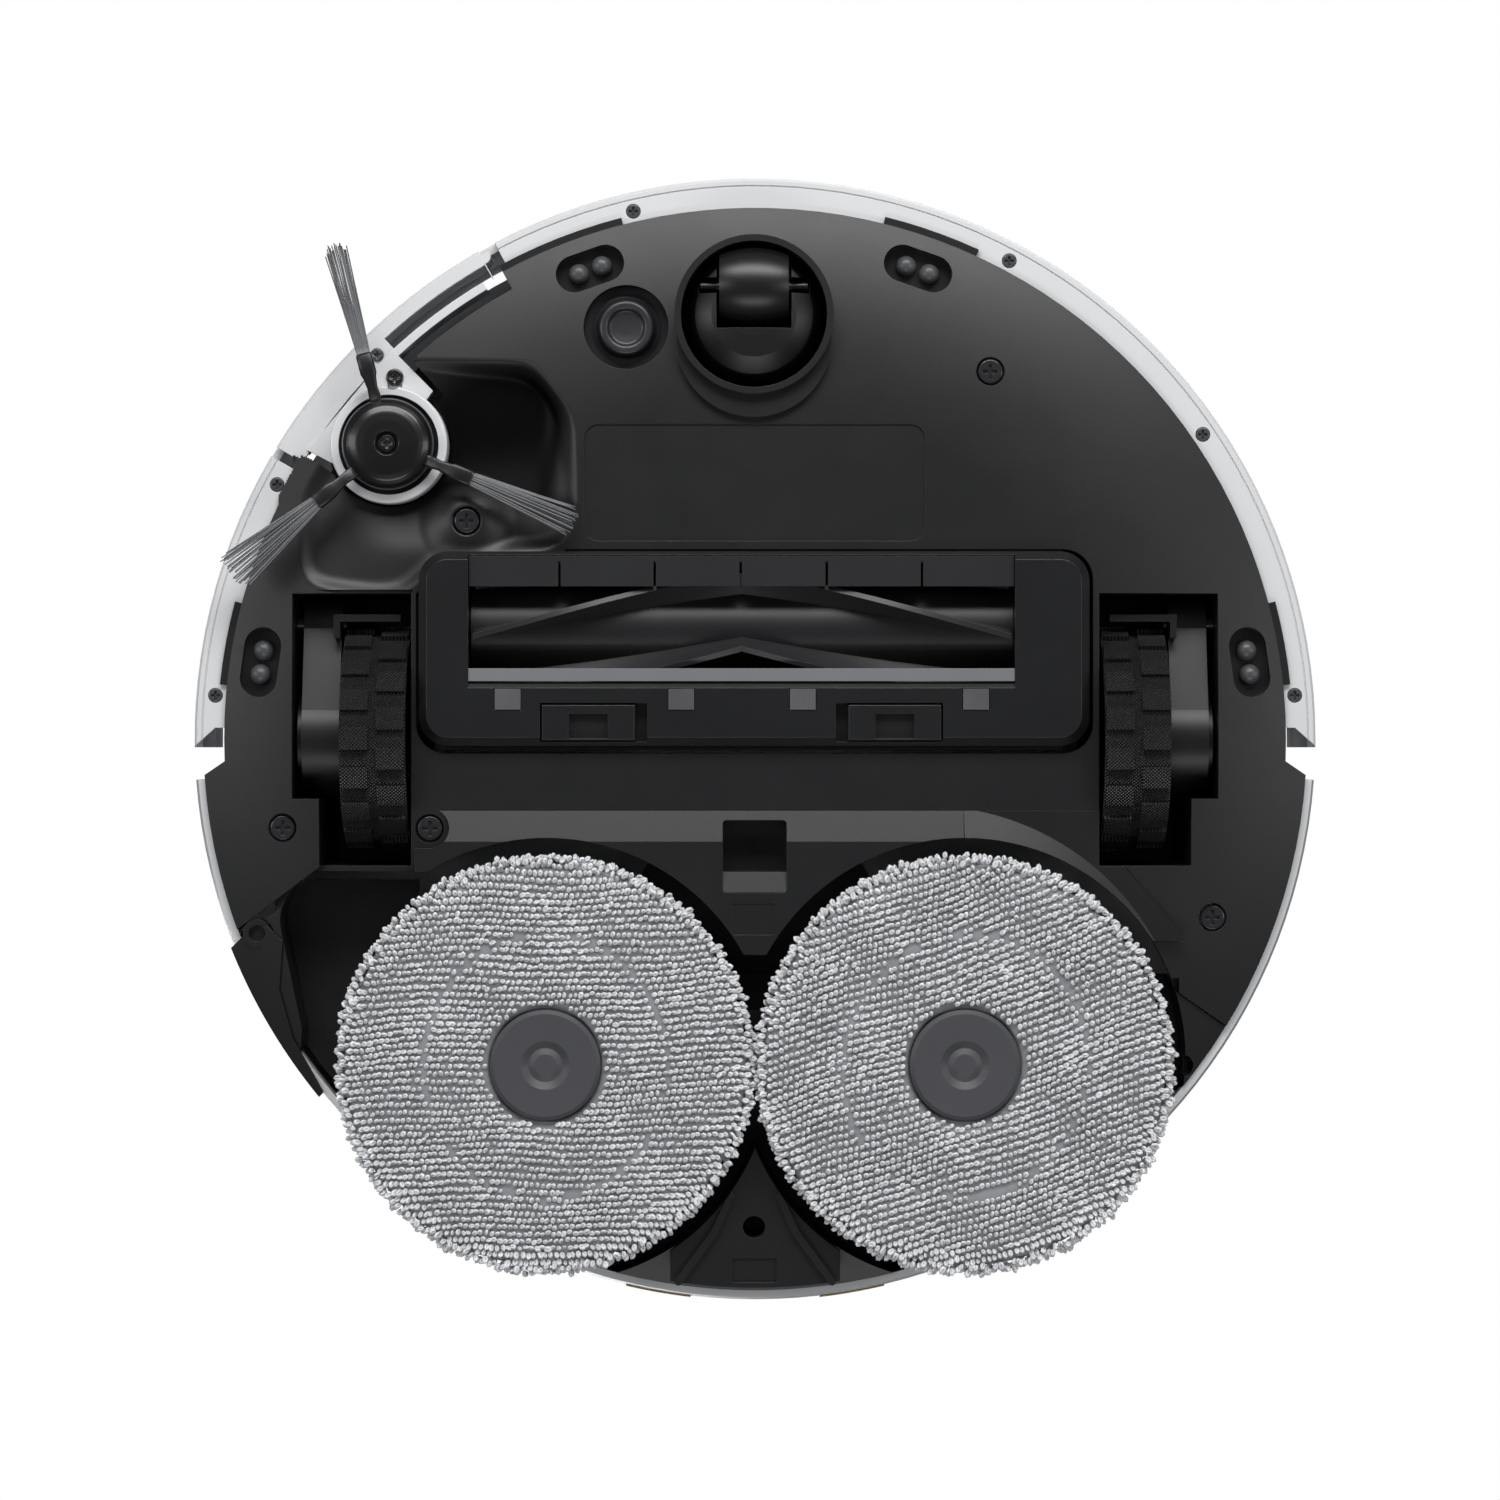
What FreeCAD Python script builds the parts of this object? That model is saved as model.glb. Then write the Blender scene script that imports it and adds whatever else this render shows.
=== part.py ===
import FreeCAD, Part
import math
import os

# Robot vacuum with a roller, a swing-out side brush and two spinning mops, in millimetres.
# The origin is on the floor under the centre of the round body. +Z is up and the front faces -Y.

V = FreeCAD.Vector

# Round body
BODY_RADIUS = 175.0
EDGE_RADIUS = 172.3
BRIM_RADIUS = 163.3
REAR_PAN_RADIUS = 170.0
FRONT_WALL_RADIUS = 159.5
DECK_RADIUS = 168.5
PAN_Z = 11.0
PAN_WALL = 2.5
FLAT_RADIUS = 104.0
RISE_RADIUS = 206.0
SHELL_Z = 24.2
RIM_TOP = 82.0
DECK_Z = 82.4
DECK_THICKNESS = 2.6
TOP_Z = 88.0
TIP_Y = 2.6
REAR_SHELL_Y = 12.7

# Bumper
FLANGE_Z = 21.4
BUMPER_SCREW_ANGLES = (184.6, 208.0, 257.0, 298.0, 325.8, 355.4)
BUMPER_SCREW_RADIUS = 166.7

# Side brush and its swing-out arm
SIDE_BRUSH_X = -112.1
SIDE_BRUSH_Y = -89.9
SIDE_HUB_RADIUS = 14.1
ARM_PIVOT_X = -83.9
ARM_PIVOT_Y = -148.6
ARM_START = 211.4
ARM_END = 240.4
TUFT_ANGLES = (22.9, 139.9, 255.4)
TUFT_REACH = 64.0

# Drive wheels
WHEEL_X = 116.3
WHEEL_Z = 35.0
WHEEL_RADIUS = 35.0
WHEEL_WIDTH = 20.0
ARM_AXIS_Y = -36.0
ARM_AXIS_Z = 32.0
WELL_OUTLINE = ((-141.9, -44.5), (-105.1, -44.5), (-105.1, 38.9),
                (-133.5, 38.9), (-133.5, 18.4), (-141.9, 18.4))
WELL_TOP = 73.0

# Caster
CASTER_X = -0.35
CASTER_Y = -129.3
CASTER_WHEEL_Y = -138.2
CASTER_WHEEL_RADIUS = 12.0
CASTER_RIM_RADIUS = 24.3
CASTER_BORE_RADIUS = 22.3

# Main brush
GUARD_X = (-102.6, 101.9)
GUARD_Y = (-57.1, 2.2)
GUARD_Z = 5.6
WINDOW_X = (-87.4, 79.1)
WINDOW_Y = (-55.9, -17.3)
ROLLER_X = -4.0
ROLLER_Y = -34.0
ROLLER_Z = 27.0
ROLLER_RADIUS = 21.5
ROLLER_HALF = 83.0
VANES = 5
LATCH_CENTRES = (-50.8, 42.5)
LATCH_TRAVEL = 3.3

# Mops
MOP_X = 63.7
MOP_Y = 99.1
PAD_RADIUS = 62.5
PAD_TOP = 9.0
PLATE_TOP = 12.6
POCKET_RADIUS = 68.8
POCKET_TOP = 41.0
MOP_ARM_Y = 56.0
MOP_EXTEND_ANGLE = 14.0
FLAP_PIVOT = (-153.3, 59.9)

# Lidar turret
TURRET_Y = 62.0
TURRET_RADIUS = 44.0
TURRET_TOP = 104.0

# Screws and sensors under the pan; a cliff sensor has a place and the direction of its pair of lenses
PAN_SCREWS = ((72.0, -112.4), (-88.2, -66.6), (-144.9, 27.3), (-99.4, 27.4), (140.3, 54.8))
MODULE_HOLES = ((-0.35, 149.4), (131.7, 100.7))
CLIFF_SENSORS = ((-50.7, -144.3, -19.3), (50.0, -144.3, 19.3), (-151.8, -23.5, 98.0), (151.8, -23.5, 82.0))
ROUND_SENSOR = (-39.5, -126.0)
FELT_X = (-75.3, -22.5, 14.5, 67.2)

# Outline of the dip that the side brush sweeps through, and how deep it is
DIP_CORNERS = ((-140.0, -46.5), (-119.0, -43.0), (-106.5, -43.0), (-95.0, -54.5), (-60.0, -56.8),
               (-53.5, -64.0), (-54.0, -98.0), (-68.0, -116.0), (-112.0, -117.5), (-141.0, -88.0))
DIP_DEPTH = 9.0

# Edge tabs of the pan beside the cliff sensors, as start and end angles
TAB_ANGLES = ((240.6, 255.6), (284.0, 294.6), (345.2, 354.2), (185.8, 194.8))

# Lid hinge on the deck
HINGE_X = 120.0
HINGE_Y = 12.3
HINGE_Z = 86.0
LID_REAR_Y = 12.7
RAISED_FRONT_Y = 14.8
BUTTON_X = 15.0
BUTTON_Y = 128.0


def box(x0, x1, y0, y1, z0, z1):
    return Part.makeBox(x1 - x0, y1 - y0, z1 - z0, V(x0, y0, z0))


def disc(x, y, radius, z0, z1):
    return Part.makeCylinder(radius, z1 - z0, V(x, y, z0))


def cross_rod(radius, x0, x1, y, z):
    """A round bar along X."""
    return Part.makeCylinder(radius, x1 - x0, V(x0, y, z), V(1, 0, 0))


def polar(radius, degrees):
    return radius * math.cos(math.radians(degrees)), radius * math.sin(math.radians(degrees))


def prism(points, z0, z1):
    wire = Part.makePolygon([V(x, y, z0) for x, y in points] + [V(points[0][0], points[0][1], z0)])
    return Part.Face(wire).extrude(V(0, 0, z1 - z0))


def spun(profile, x=0.0, y=0.0):
    """A solid of revolution about a vertical axis, from (radius, height) points."""
    wire = Part.makePolygon([V(r, 0, z) for r, z in profile] + [V(profile[0][0], 0, profile[0][1])])
    solid = Part.Face(wire).revolve(V(0, 0, 0), V(0, 0, 1), 360)
    solid.translate(V(x, y, 0))
    return solid


def sector(inner, outer, start, end, z0, z1):
    """A block between two radii and two angles about the body's centre."""
    middle = (start + end) / 2
    corners = [V(*polar(r, a), z0) for r, a in ((inner, start), (inner, end), (outer, end), (outer, start))]
    edges = [
        Part.Arc(corners[0], V(*polar(inner, middle), z0), corners[1]).toShape(),
        Part.makeLine(corners[1], corners[2]),
        Part.Arc(corners[2], V(*polar(outer, middle), z0), corners[3]).toShape(),
        Part.makeLine(corners[3], corners[0]),
    ]
    return Part.Face(Part.Wire(edges)).extrude(V(0, 0, z1 - z0))


def bar(start, end, width, z0, z1):
    """A flat bar with round ends between two points."""
    dx = end[0] - start[0]
    dy = end[1] - start[1]
    length = math.hypot(dx, dy)
    nx = -dy / length * width / 2
    ny = dx / length * width / 2
    corners = [(start[0] + nx, start[1] + ny), (end[0] + nx, end[1] + ny)]
    corners += [(end[0] - nx, end[1] - ny), (start[0] - nx, start[1] - ny)]
    ends = [disc(start[0], start[1], width / 2, z0, z1), disc(end[0], end[1], width / 2, z0, z1)]
    return prism(corners, z0, z1).fuse(ends).removeSplitter()


def upright_edges(shape):
    return [e for e in shape.Edges if abs(e.BoundBox.ZLength - shape.BoundBox.ZLength) < 0.01]


def slab(x0, x1, y0, y1, z0, z1, corner):
    """A block whose upright edges are rounded."""
    block = box(x0, x1, y0, y1, z0, z1)
    return block.makeFillet(corner, upright_edges(block))


def joined(shapes):
    """One solid from many, fused in turn."""
    whole = shapes[0]
    for shape in shapes[1:]:
        whole = whole.fuse(shape)
    return whole.removeSplitter()


def mirrored(shape):
    return shape.mirror(V(0, 0, 0), V(1, 0, 0))


def save(name, shape):
    shape.exportStep("parts/" + name + ".step")


def skin_height(radius):
    """Height of the underside: flat in the middle, rising on one arc towards the edge."""
    if radius <= FLAT_RADIUS:
        return PAN_Z
    return PAN_Z + RISE_RADIUS - math.sqrt(RISE_RADIUS**2 - (radius - FLAT_RADIUS)**2)


def above_skin(offset, top=60.0, radius=174.5):
    """Everything above the underside surface raised by offset, up to a flat top."""
    middle = (FLAT_RADIUS + radius) / 2
    low = PAN_Z + offset
    edges = [
        Part.makeLine(V(0, 0, low), V(FLAT_RADIUS, 0, low)),
        Part.Arc(
            V(FLAT_RADIUS, 0, low),
            V(middle, 0, skin_height(middle) + offset),
            V(radius, 0, skin_height(radius) + offset),
        ).toShape(),
        Part.makeLine(V(radius, 0, skin_height(radius) + offset), V(radius, 0, top)),
        Part.makeLine(V(radius, 0, top), V(0, 0, top)),
        Part.makeLine(V(0, 0, top), V(0, 0, low)),
    ]
    return Part.Face(Part.Wire(edges)).revolve(V(0, 0, 0), V(0, 0, 1), 360)


def skin_shell(offset, thickness, radius=174.5):
    return above_skin(offset, 60.0, radius).cut(above_skin(offset + thickness, 61.0, radius + 1.0))


def pan_plan(z0, z1):
    """Plan of the pan: the round front, the wider rear quarter and its two end lines."""
    corners = ((-172, REAR_SHELL_Y), (-163, 6.8), (163, 6.8), (172, REAR_SHELL_Y), (172, 90), (-172, 90))
    rear = prism(corners, z0, z1)
    plan = joined([disc(0, 0, BRIM_RADIUS, z0, z1), disc(0, 0, REAR_PAN_RADIUS, z0, z1).common(rear)])
    left_end = prism(((-200, 89), (-133.0, 38.9), (-60, 38.9), (-60, 200), (-200, 200)), z0 - 1, z1 + 1)
    right_end = prism(((123.6, 73.4), (170, 105.6), (200, 250), (40, 250)), z0 - 1, z1 + 1)
    back = box(-70, 130, 73.4, 200, z0 - 1, z1 + 1)
    return plan.cut([left_end, right_end, back])


def mop_pocket(grow, z0, z1):
    """Plan of the bay over the two mops, wider on the left for the mop that swings out."""
    out = math.radians(MOP_EXTEND_ANGLE)
    reach = MOP_Y - MOP_ARM_Y
    swung = (-MOP_X - reach * math.sin(out), MOP_ARM_Y + reach * math.cos(out))
    wide = bar((-131.0, 56.0), (-118.0, 120.0), 30.0 + 2 * grow, z0, z1)
    near = slab(-133.0 - grow, -60.0, 40.6 - grow, 110.0, z0, z1, 8.0 + grow)
    return joined([
        disc(MOP_X, MOP_Y, POCKET_RADIUS + grow, z0, z1),
        disc(-MOP_X, MOP_Y, POCKET_RADIUS + grow, z0, z1),
        disc(swung[0], swung[1], PAD_RADIUS + 3.5 + grow, z0, z1),
        wide,
        near,
    ])


def flap_plan(gap, z0, z1):
    """Plan of the side flap between its pivot and the left mop, out to the edge of the body."""
    points = ((-200, 90), (-162.2, 65.0), (-157.5, 60.5), (-150.0, 57.5), (-145.2, 62.0), (-146.5, 77.0))
    points += ((-142.5, 92.0), (-133.0, 109.0), (-150, 126), (-200, 126))
    shape = prism(points, z0, z1)
    return shape.common(disc(0, 0, 174.2 + gap, z0, z1))


def arm_bay(z0, z1):
    """Opening in the pan for the side brush's arm, out to the edge."""
    hub = disc(SIDE_BRUSH_X, SIDE_BRUSH_Y, 21.0, z0, z1)
    band = sector(157.0, 180.0, ARM_START - 1.6, ARM_END + 1.2, z0, z1)
    web = prism((polar(120, 211), polar(175, 208), polar(175, 228), polar(140, 228)), z0, z1)
    return joined([hub, band, web])


def dip_plan(grow, z0, z1):
    outline = prism(DIP_CORNERS, z0, z1)
    outline = outline.makeFillet(6.0, upright_edges(outline))
    if grow == 0:
        return outline
    wire = [f for f in outline.Faces if abs(f.BoundBox.ZMax - z0) < 0.01][0].OuterWire
    return Part.Face(wire.makeOffset2D(grow)).extrude(V(0, 0, z1 - z0))


def cliff_outline(x, y, direction, length, width, z0, z1):
    dx, dy = polar((length - width) / 2, direction)
    return bar((x - dx, y - dy), (x + dx, y + dy), width, z0, z1)


def screw(x, y, radius, z0, z1):
    """A domed cross-head screw seen from below, with its head at z0."""
    head = disc(x, y, radius, z0, z0 + 1.6)
    rim = [e for e in head.Edges if abs(e.BoundBox.ZMax - z0) < 0.01 and e.BoundBox.ZLength < 0.01]
    head = head.makeFillet(0.5, rim)
    shank = disc(x, y, radius * 0.42, z0 + 1.6, z1)
    slot = radius * 0.17
    cross = [
        box(x - radius * 0.62, x + radius * 0.62, y - slot, y + slot, z0 - 1, z0 + 0.8),
        box(x - slot, x + slot, y - radius * 0.62, y + radius * 0.62, z0 - 1, z0 + 0.8),
    ]
    return head.fuse(shank).cut(cross)


def bottom_pan():
    """The chassis moulding: curved skin, edge walls, sensor recesses and the caster's raised socket."""
    pan = skin_shell(0, PAN_WALL).common(pan_plan(0, 70))
    over_brim = disc(0, 0, 180, FLANGE_Z - 0.3, 60).cut(disc(0, 0, FRONT_WALL_RADIUS, 20, 61))
    pan = pan.cut(over_brim.common(box(-200, 200, -200, 7.0, 0, 70)))
    front_wall = sector(157.3, FRONT_WALL_RADIUS, 182.0, 358.0, 15, 46).common(above_skin(0.5))
    side_wall = disc(0, 0, REAR_PAN_RADIUS, 20, 34).cut(disc(0, 0, REAR_PAN_RADIUS - 2.2, 19, 35))
    side_wall = side_wall.common(pan_plan(0, 70)).common(above_skin(0.5))
    side_wall = side_wall.common(box(-200, 200, REAR_SHELL_Y, 200, 0, 100))
    tabs = [sector(162.2, 165.5, start, end, 20.0, 21.0) for start, end in TAB_ANGLES]
    bosses = [cliff_outline(x, y, d, 23.5, 13.6, PAN_Z + 2, 25) for x, y, d in CLIFF_SENSORS]
    bosses = [b.common(above_skin(0.3)) for b in bosses]
    bosses += [disc(x, y, 6.2, PAN_Z + 1, 18).common(above_skin(0.3)) for x, y in PAN_SCREWS]
    sensor = disc(ROUND_SENSOR[0], ROUND_SENSOR[1], 15.0, 13.0, 22).common(above_skin(0.3))
    skirt = bar((CASTER_X, CASTER_Y), (CASTER_X, CASTER_Y + 7.4), 2 * CASTER_RIM_RADIUS - 1.0, 9.0, 12.6)
    socket = disc(CASTER_X, CASTER_Y, CASTER_RIM_RADIUS, 6.0, 40.0)
    hub_wall = disc(SIDE_BRUSH_X, SIDE_BRUSH_Y, 23.0, 16, 38).common(above_skin(0.5))
    dip_wall = dip_plan(2.0, PAN_Z + 1, PAN_Z + DIP_DEPTH + 1.6).common(above_skin(0.4))
    dip_wall = dip_wall.common(disc(0, 0, 157.0, 0, 60))
    dip_wall = dip_wall.cut([box(-99, 95, -59.0, 5, 13.5, 60), box(-144, -102, -47, 42, 11, 60)])
    pieces = [pan, front_wall, side_wall, sensor, skirt, socket, hub_wall, dip_wall] + tabs + bosses
    cuts = [
        dip_plan(0, 0, PAN_Z + DIP_DEPTH),
        prism(WELL_OUTLINE, 0, 60),
        mirrored(prism(WELL_OUTLINE, 0, 60)),
        slab(GUARD_X[0] - 1.0, GUARD_X[1] + 1.3, GUARD_Y[0] - 0.8, GUARD_Y[1] + 2.3, 0, 60, 9.2),
        slab(-52.3, 51.9, -96.1, -60.4, 0, PAN_Z + 0.5, 4.6),
        arm_bay(0, 60),
        disc(CASTER_X, CASTER_Y, CASTER_BORE_RADIUS, 0, 37.5),
        disc(ROUND_SENSOR[0], ROUND_SENSOR[1], 13.0, 0, 19.5),
    ]
    cuts += [cliff_outline(x, y, d, 21.5, 11.6, 0, 22.5) for x, y, d in CLIFF_SENSORS]
    cuts += [disc(x, y, 4.4, 0, skin_height(math.hypot(x, y)) + 2.2) for x, y in PAN_SCREWS]
    cuts += [disc(x, y, 1.6, 0, 40) for x, y in PAN_SCREWS]
    cuts.append(joined([rear_panel_plan(0, 60, 0.0), mop_pocket(0, 0, 60), box(-60, 60, 60, 80, 0, 60)]))
    return joined([piece.cut(cuts) for piece in pieces])


def rear_panel_plan(z0, z1, inset):
    """Plan of the rear panel: a straight front edge, two mop circles and a rounded tongue between them."""
    body = box(-104.0 + inset, 112.0 - inset, 21.8 + inset, 66.0 - inset, z0, z1)
    corners = ((63, 21.8 + inset), (95, 27.5), (112 - inset, 38), (132 - inset, 62 - inset), (63, 62))
    wing = prism(corners, z0, z1)
    tongue = bar((-0.3, 50.0), (-0.3, 57.0), 14.5 - 2 * inset, z0, z1)
    plan = body.fuse([wing, tongue])
    circles = [disc(side * MOP_X, MOP_Y, POCKET_RADIUS, z0 - 1, z1 + 1) for side in (-1, 1)]
    wide = slab(-133.0, -60.0, 40.6, 110.0, z0 - 1, z1 + 1, 8.0)
    well = [prism(WELL_OUTLINE, z0 - 1, z1 + 1), mirrored(prism(WELL_OUTLINE, z0 - 1, z1 + 1))]
    corner = box(-106, -99.4, 20, 33.4, z0 - 1, z1 + 1)
    return plan.cut(circles + well + [wide, corner, disc(-99.4, 27.4, 6.0, z0 - 1, z1 + 1)])


def rear_panel():
    """A raised panel whose front is a ramp, which carries on as a lip round the right mop."""
    low = 8.0
    lip_out = POCKET_RADIUS + 9.0
    ramp = prism(((21.8, PAN_Z), (31.4, low), (80, low), (80, 14), (21.8, 14)), 0, 200)
    ramp.rotate(V(0, 0, 0), V(1, 1, 1), 120)
    ramp.translate(V(-110, 0, 0))
    ramp = ramp.common(box(-110, MOP_X, 0, 100, 0, 30))
    lip = spun(((0, low), (POCKET_RADIUS, low), (lip_out, PAN_Z), (lip_out, 14), (0, 14)), MOP_X, MOP_Y)
    lip = lip.common(box(MOP_X, 200, -20, 100, 0, 30))
    lip.rotate(V(MOP_X, MOP_Y, PAN_Z), V(0, 1, 0), -2.8)
    base = box(-110, 140, 20, 70, PAN_Z, 13.5)
    panel = joined([ramp, lip, base]).common(rear_panel_plan(0, 13.5, 0.15))
    grip = slab(-9.9, 9.6, 24.9, 47.0, 0, 22.0, 1.2)
    grip_wall = box(-11.6, 11.3, 23.2, 48.7, 12.5, 24.0)
    slope = prism(((40.6, 10.0), (46.9, 8.1), (46.9, 22.0), (40.6, 22.0)), -9.9, 9.6)
    slope.rotate(V(0, 0, 0), V(1, 1, 1), 120)
    panel = joined([panel, grip_wall]).cut(grip.cut(slope))
    return panel.cut(slab(-6.9, 6.0, 50.2, 59.8, 0, low + 0.4, 0.8))


def module_plan(z0, z1):
    """Plan of the rear module: the round rear edge behind the pan's two end lines."""
    whole = disc(0, 0, REAR_PAN_RADIUS, z0, z1).common(box(-200, 200, 30, 200, z0, z1))
    corners = ((-200, 20), (-200, 92.6), (-133.2, 42.5), (-133.2, 39.2), (-99, 39.2), (-60, 60), (60, 60))
    corners += ((124.2, 74.0), (170, 106.2), (200, 126.0), (200, 20))
    front = prism(corners, z0 - 1, z1 + 1)
    return whole.cut(front)


def mop_module_base():
    """The rear moulding round the mop bay, with the bay's ceiling and two lift guide posts."""
    skin = skin_shell(1.2, 2.4, 174.0).common(module_plan(0, 70)).cut(mop_pocket(0, 0, 70))
    skin = skin.cut(flap_plan(0.0, 0, 70).cut(box(-137, 0, 0, 200, 0, 70)))
    wall = mop_pocket(2.0, 16.0, POCKET_TOP + 2.4).cut(mop_pocket(0, 15.0, POCKET_TOP))
    wall = wall.common(above_skin(3.0)).common(disc(0, 0, REAR_PAN_RADIUS - 0.4, 0, 60))
    wall = wall.cut([prism(WELL_OUTLINE, 0, 60), box(-105, 105, 0, 50.5, 0, 60), flap_plan(1.5, 0, 26)])
    wall = wall.cut(box(-160, -104, 0, 44.0, 0, 60))
    boss = spun(((0, 14), (9.5, 14), (9.5, 36), (0, 36)), -0.35, 143.0)
    ridges = [bar((side * 23.5, 166.0), (side * 12.5, 151.0), 2.2, 11.2, 14.0) for side in (-1, 1)]
    ridges += [bar((side * 12.5, 151.0), (side * 7.5, 140.0), 2.2, 11.2, 14.0) for side in (-1, 1)]
    centre = box(-26, 26, 126, 170, 13.0, 15.5).common(disc(0, 0, 168, 0, 60)).cut(mop_pocket(0, 0, 60))
    centre = centre.fuse([r.cut(mop_pocket(0, 0, 60)) for r in ridges])
    posts = [disc(x, 99.1, 3.0, 24.0, POCKET_TOP + 0.5) for x in (-14.0, 14.0)]
    base = joined([skin, wall, centre, boss.common(above_skin(1.2)).cut(mop_pocket(0, 0, 60))] + posts)
    cuts = [disc(x, y, 3.4, 0, 30) for x, y in MODULE_HOLES]
    cuts += [
        box(-6.9, 6.6, 158.9, 166.4, 0, 13.8),
        rear_panel_plan(0, 40, -0.2),
        pan_plan(0, 70),
        flap_plan(1.5, 0, 24.1).fuse(disc(*FLAP_PIVOT, 5.2, 0, 26.1)),
        box(-146, -103, 0, 41.6, 0, 60),
    ]
    return base.cut(cuts)


def rear_shell():
    """The white outer skin of the rear half, with a top flange under the deck."""
    profile = ((REAR_PAN_RADIUS + 0.1, SHELL_Z), (EDGE_RADIUS, SHELL_Z), (174.0, 32), (BODY_RADIUS, 48))
    profile += ((BODY_RADIUS, 72), (174.3, 78), (172.6, 81), (170.4, RIM_TOP), (163, RIM_TOP))
    profile += ((163, RIM_TOP - 2.4), (170.2, RIM_TOP - 2.4), (172.2, 72), (172.2, 48), (171.4, 34))
    shell = spun(profile).common(box(-200, 200, REAR_SHELL_Y, 200, 0, 100))
    return shell.cut([
        box(-9, 9, 174, 180, 44, 56),
        box(20, 40, 160, 180, 30, 38),
        box(-40, -20, 160, 180, 30, 38),
    ])


def bumper_profile():
    """Half section of the bumper's wall and flange, as (radius, height) points."""
    outside = ((BRIM_RADIUS, FLANGE_Z), (171.9, FLANGE_Z), (EDGE_RADIUS + 0.4, 22.4), (174.0, 32))
    outside += ((BODY_RADIUS, 48), (BODY_RADIUS, 72), (174.3, 78), (172.8, 80.8), (171.8, RIM_TOP - 0.4))
    inside = ((171.2, 79.4), (172.4, 72), (172.4, 48), (171.4, 32), (170.2, 24.0), (BRIM_RADIUS, 24.0))
    return outside + inside


def front_bumper():
    """The sprung front skin: a wall with a flange underneath, open low down where the brush arm lies."""
    bumper = spun(bumper_profile()).common(box(-200, 200, -200, TIP_Y, 0, 100))
    bay = sector(140, 200, ARM_START - 1.1, ARM_END + 1.9, 0, 36.4)
    window = sector(173.4, 200, 236.0, 304.0, 42, 68)
    groove = disc(0, 0, 170.5, 20, FLANGE_Z + 0.35).cut(disc(0, 0, 170.0, 19, 30))
    tip = ((160, -3.4), (166.3, -3.4), (173, TIP_Y), (160, TIP_Y + 3))
    ends = [prism([(side * x, y) for x, y in tip], 0, 30) for side in (-1, 1)]
    holes = [disc(*polar(BUMPER_SCREW_RADIUS, a), 2.3, 20, 23.0) for a in BUMPER_SCREW_ANGLES]
    holes += [disc(*polar(BUMPER_SCREW_RADIUS, a), 0.97, 20, 23.6) for a in BUMPER_SCREW_ANGLES]
    return bumper.cut([bay, window, groove] + ends + holes)


def bumper_screws():
    places = [polar(BUMPER_SCREW_RADIUS, angle) for angle in BUMPER_SCREW_ANGLES]
    return Part.makeCompound([screw(x, y, 2.3, FLANGE_Z, 23.6) for x, y in places])


def bumper_window():
    return sector(173.5, BODY_RADIUS, 236.4, 303.6, 42.3, 67.7)


def side_brush_arm():
    """The white arm: an outer skin on the body's circle, a ring round the brush and a web between."""
    skin = spun(bumper_profile()).common(box(-200, 200, -200, 0, 0, 34.8))
    skin = skin.common(sector(140, 200, ARM_START, ARM_END, 0, 60))
    skin = skin.cut(sector(140, 168.0, 227.2, 240.3, 0, 60))
    band = sector(161.2, 163.6, 226.5, ARM_END - 1.2, 21.4, 34.8)
    floor_band = sector(164.2, 171.0, 212.5, 227.2, 21.4, 34.8)
    pivot = disc(ARM_PIVOT_X, ARM_PIVOT_Y, 2.4, 21.4, 34.8).common(disc(0, 0, 171.0, 0, 60))
    ring = disc(SIDE_BRUSH_X, SIDE_BRUSH_Y, 18.0, 12.2, 26.0)
    rim = [e for e in ring.Edges if abs(e.BoundBox.ZMax - 12.2) < 0.01]
    ring = ring.makeFillet(0.8, rim)
    web = prism((polar(143, 213.6), polar(164.0, 212.8), polar(164.0, 227.0), polar(146, 227.2)), 20.8, 26.0)
    arm = joined([skin, band, floor_band, pivot, ring, web])
    return arm.cut([disc(SIDE_BRUSH_X, SIDE_BRUSH_Y, 15.3, 0, 60), disc(-110.9, -108.9, 2.3, 0, 22.4)])


def side_brush_housing():
    """The brush's gear case on the arm, with its motor on top and the output shaft."""
    case = disc(SIDE_BRUSH_X, SIDE_BRUSH_Y, 19.6, 26.2, 33.0)
    cup = disc(SIDE_BRUSH_X, SIDE_BRUSH_Y, 15.2, 14.5, 26.4)
    shaft = disc(SIDE_BRUSH_X, SIDE_BRUSH_Y, 3.0, 8.5, 16)
    motor = disc(SIDE_BRUSH_X + 2, SIDE_BRUSH_Y + 2, 12.0, 33, 45.8)
    return joined([case, cup, shaft, motor])


def side_brush_hub():
    """The domed disc over the brush, with a hole for its centre screw."""
    profile = ((0, 4.8), (8, 5.0), (12.0, 6.0), (13.6, 7.4), (SIDE_HUB_RADIUS, 9.4))
    profile += ((SIDE_HUB_RADIUS, 13.8), (0, 13.8))
    hub = spun(profile, SIDE_BRUSH_X, SIDE_BRUSH_Y)
    bore = disc(SIDE_BRUSH_X, SIDE_BRUSH_Y, 3.05, 8.4, 20)
    return hub.cut([bore, disc(SIDE_BRUSH_X, SIDE_BRUSH_Y, 3.7, 0, 6.6)])


def tuft_prism(inner, outer, inner_width, outer_width, z0, z1, angle):
    """A tapered block that points outwards from the side brush's centre."""
    near = inner_width / 2
    far = outer_width / 2
    tuft = prism(((inner, -near), (outer, -far), (outer, far), (inner, near)), z0, z1)
    tuft.rotate(V(0, 0, 0), V(0, 0, 1), angle)
    tuft.translate(V(SIDE_BRUSH_X, SIDE_BRUSH_Y, 0))
    return tuft


def side_brush_sleeves():
    return Part.makeCompound([tuft_prism(14.3, 27.5, 3.4, 4.4, 5.4, 8.4, a) for a in TUFT_ANGLES])


def side_brush_bristles():
    return Part.makeCompound([tuft_prism(26.0, TUFT_REACH, 3.0, 9.5, 3.2, 5.2, a) for a in TUFT_ANGLES])


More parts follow.
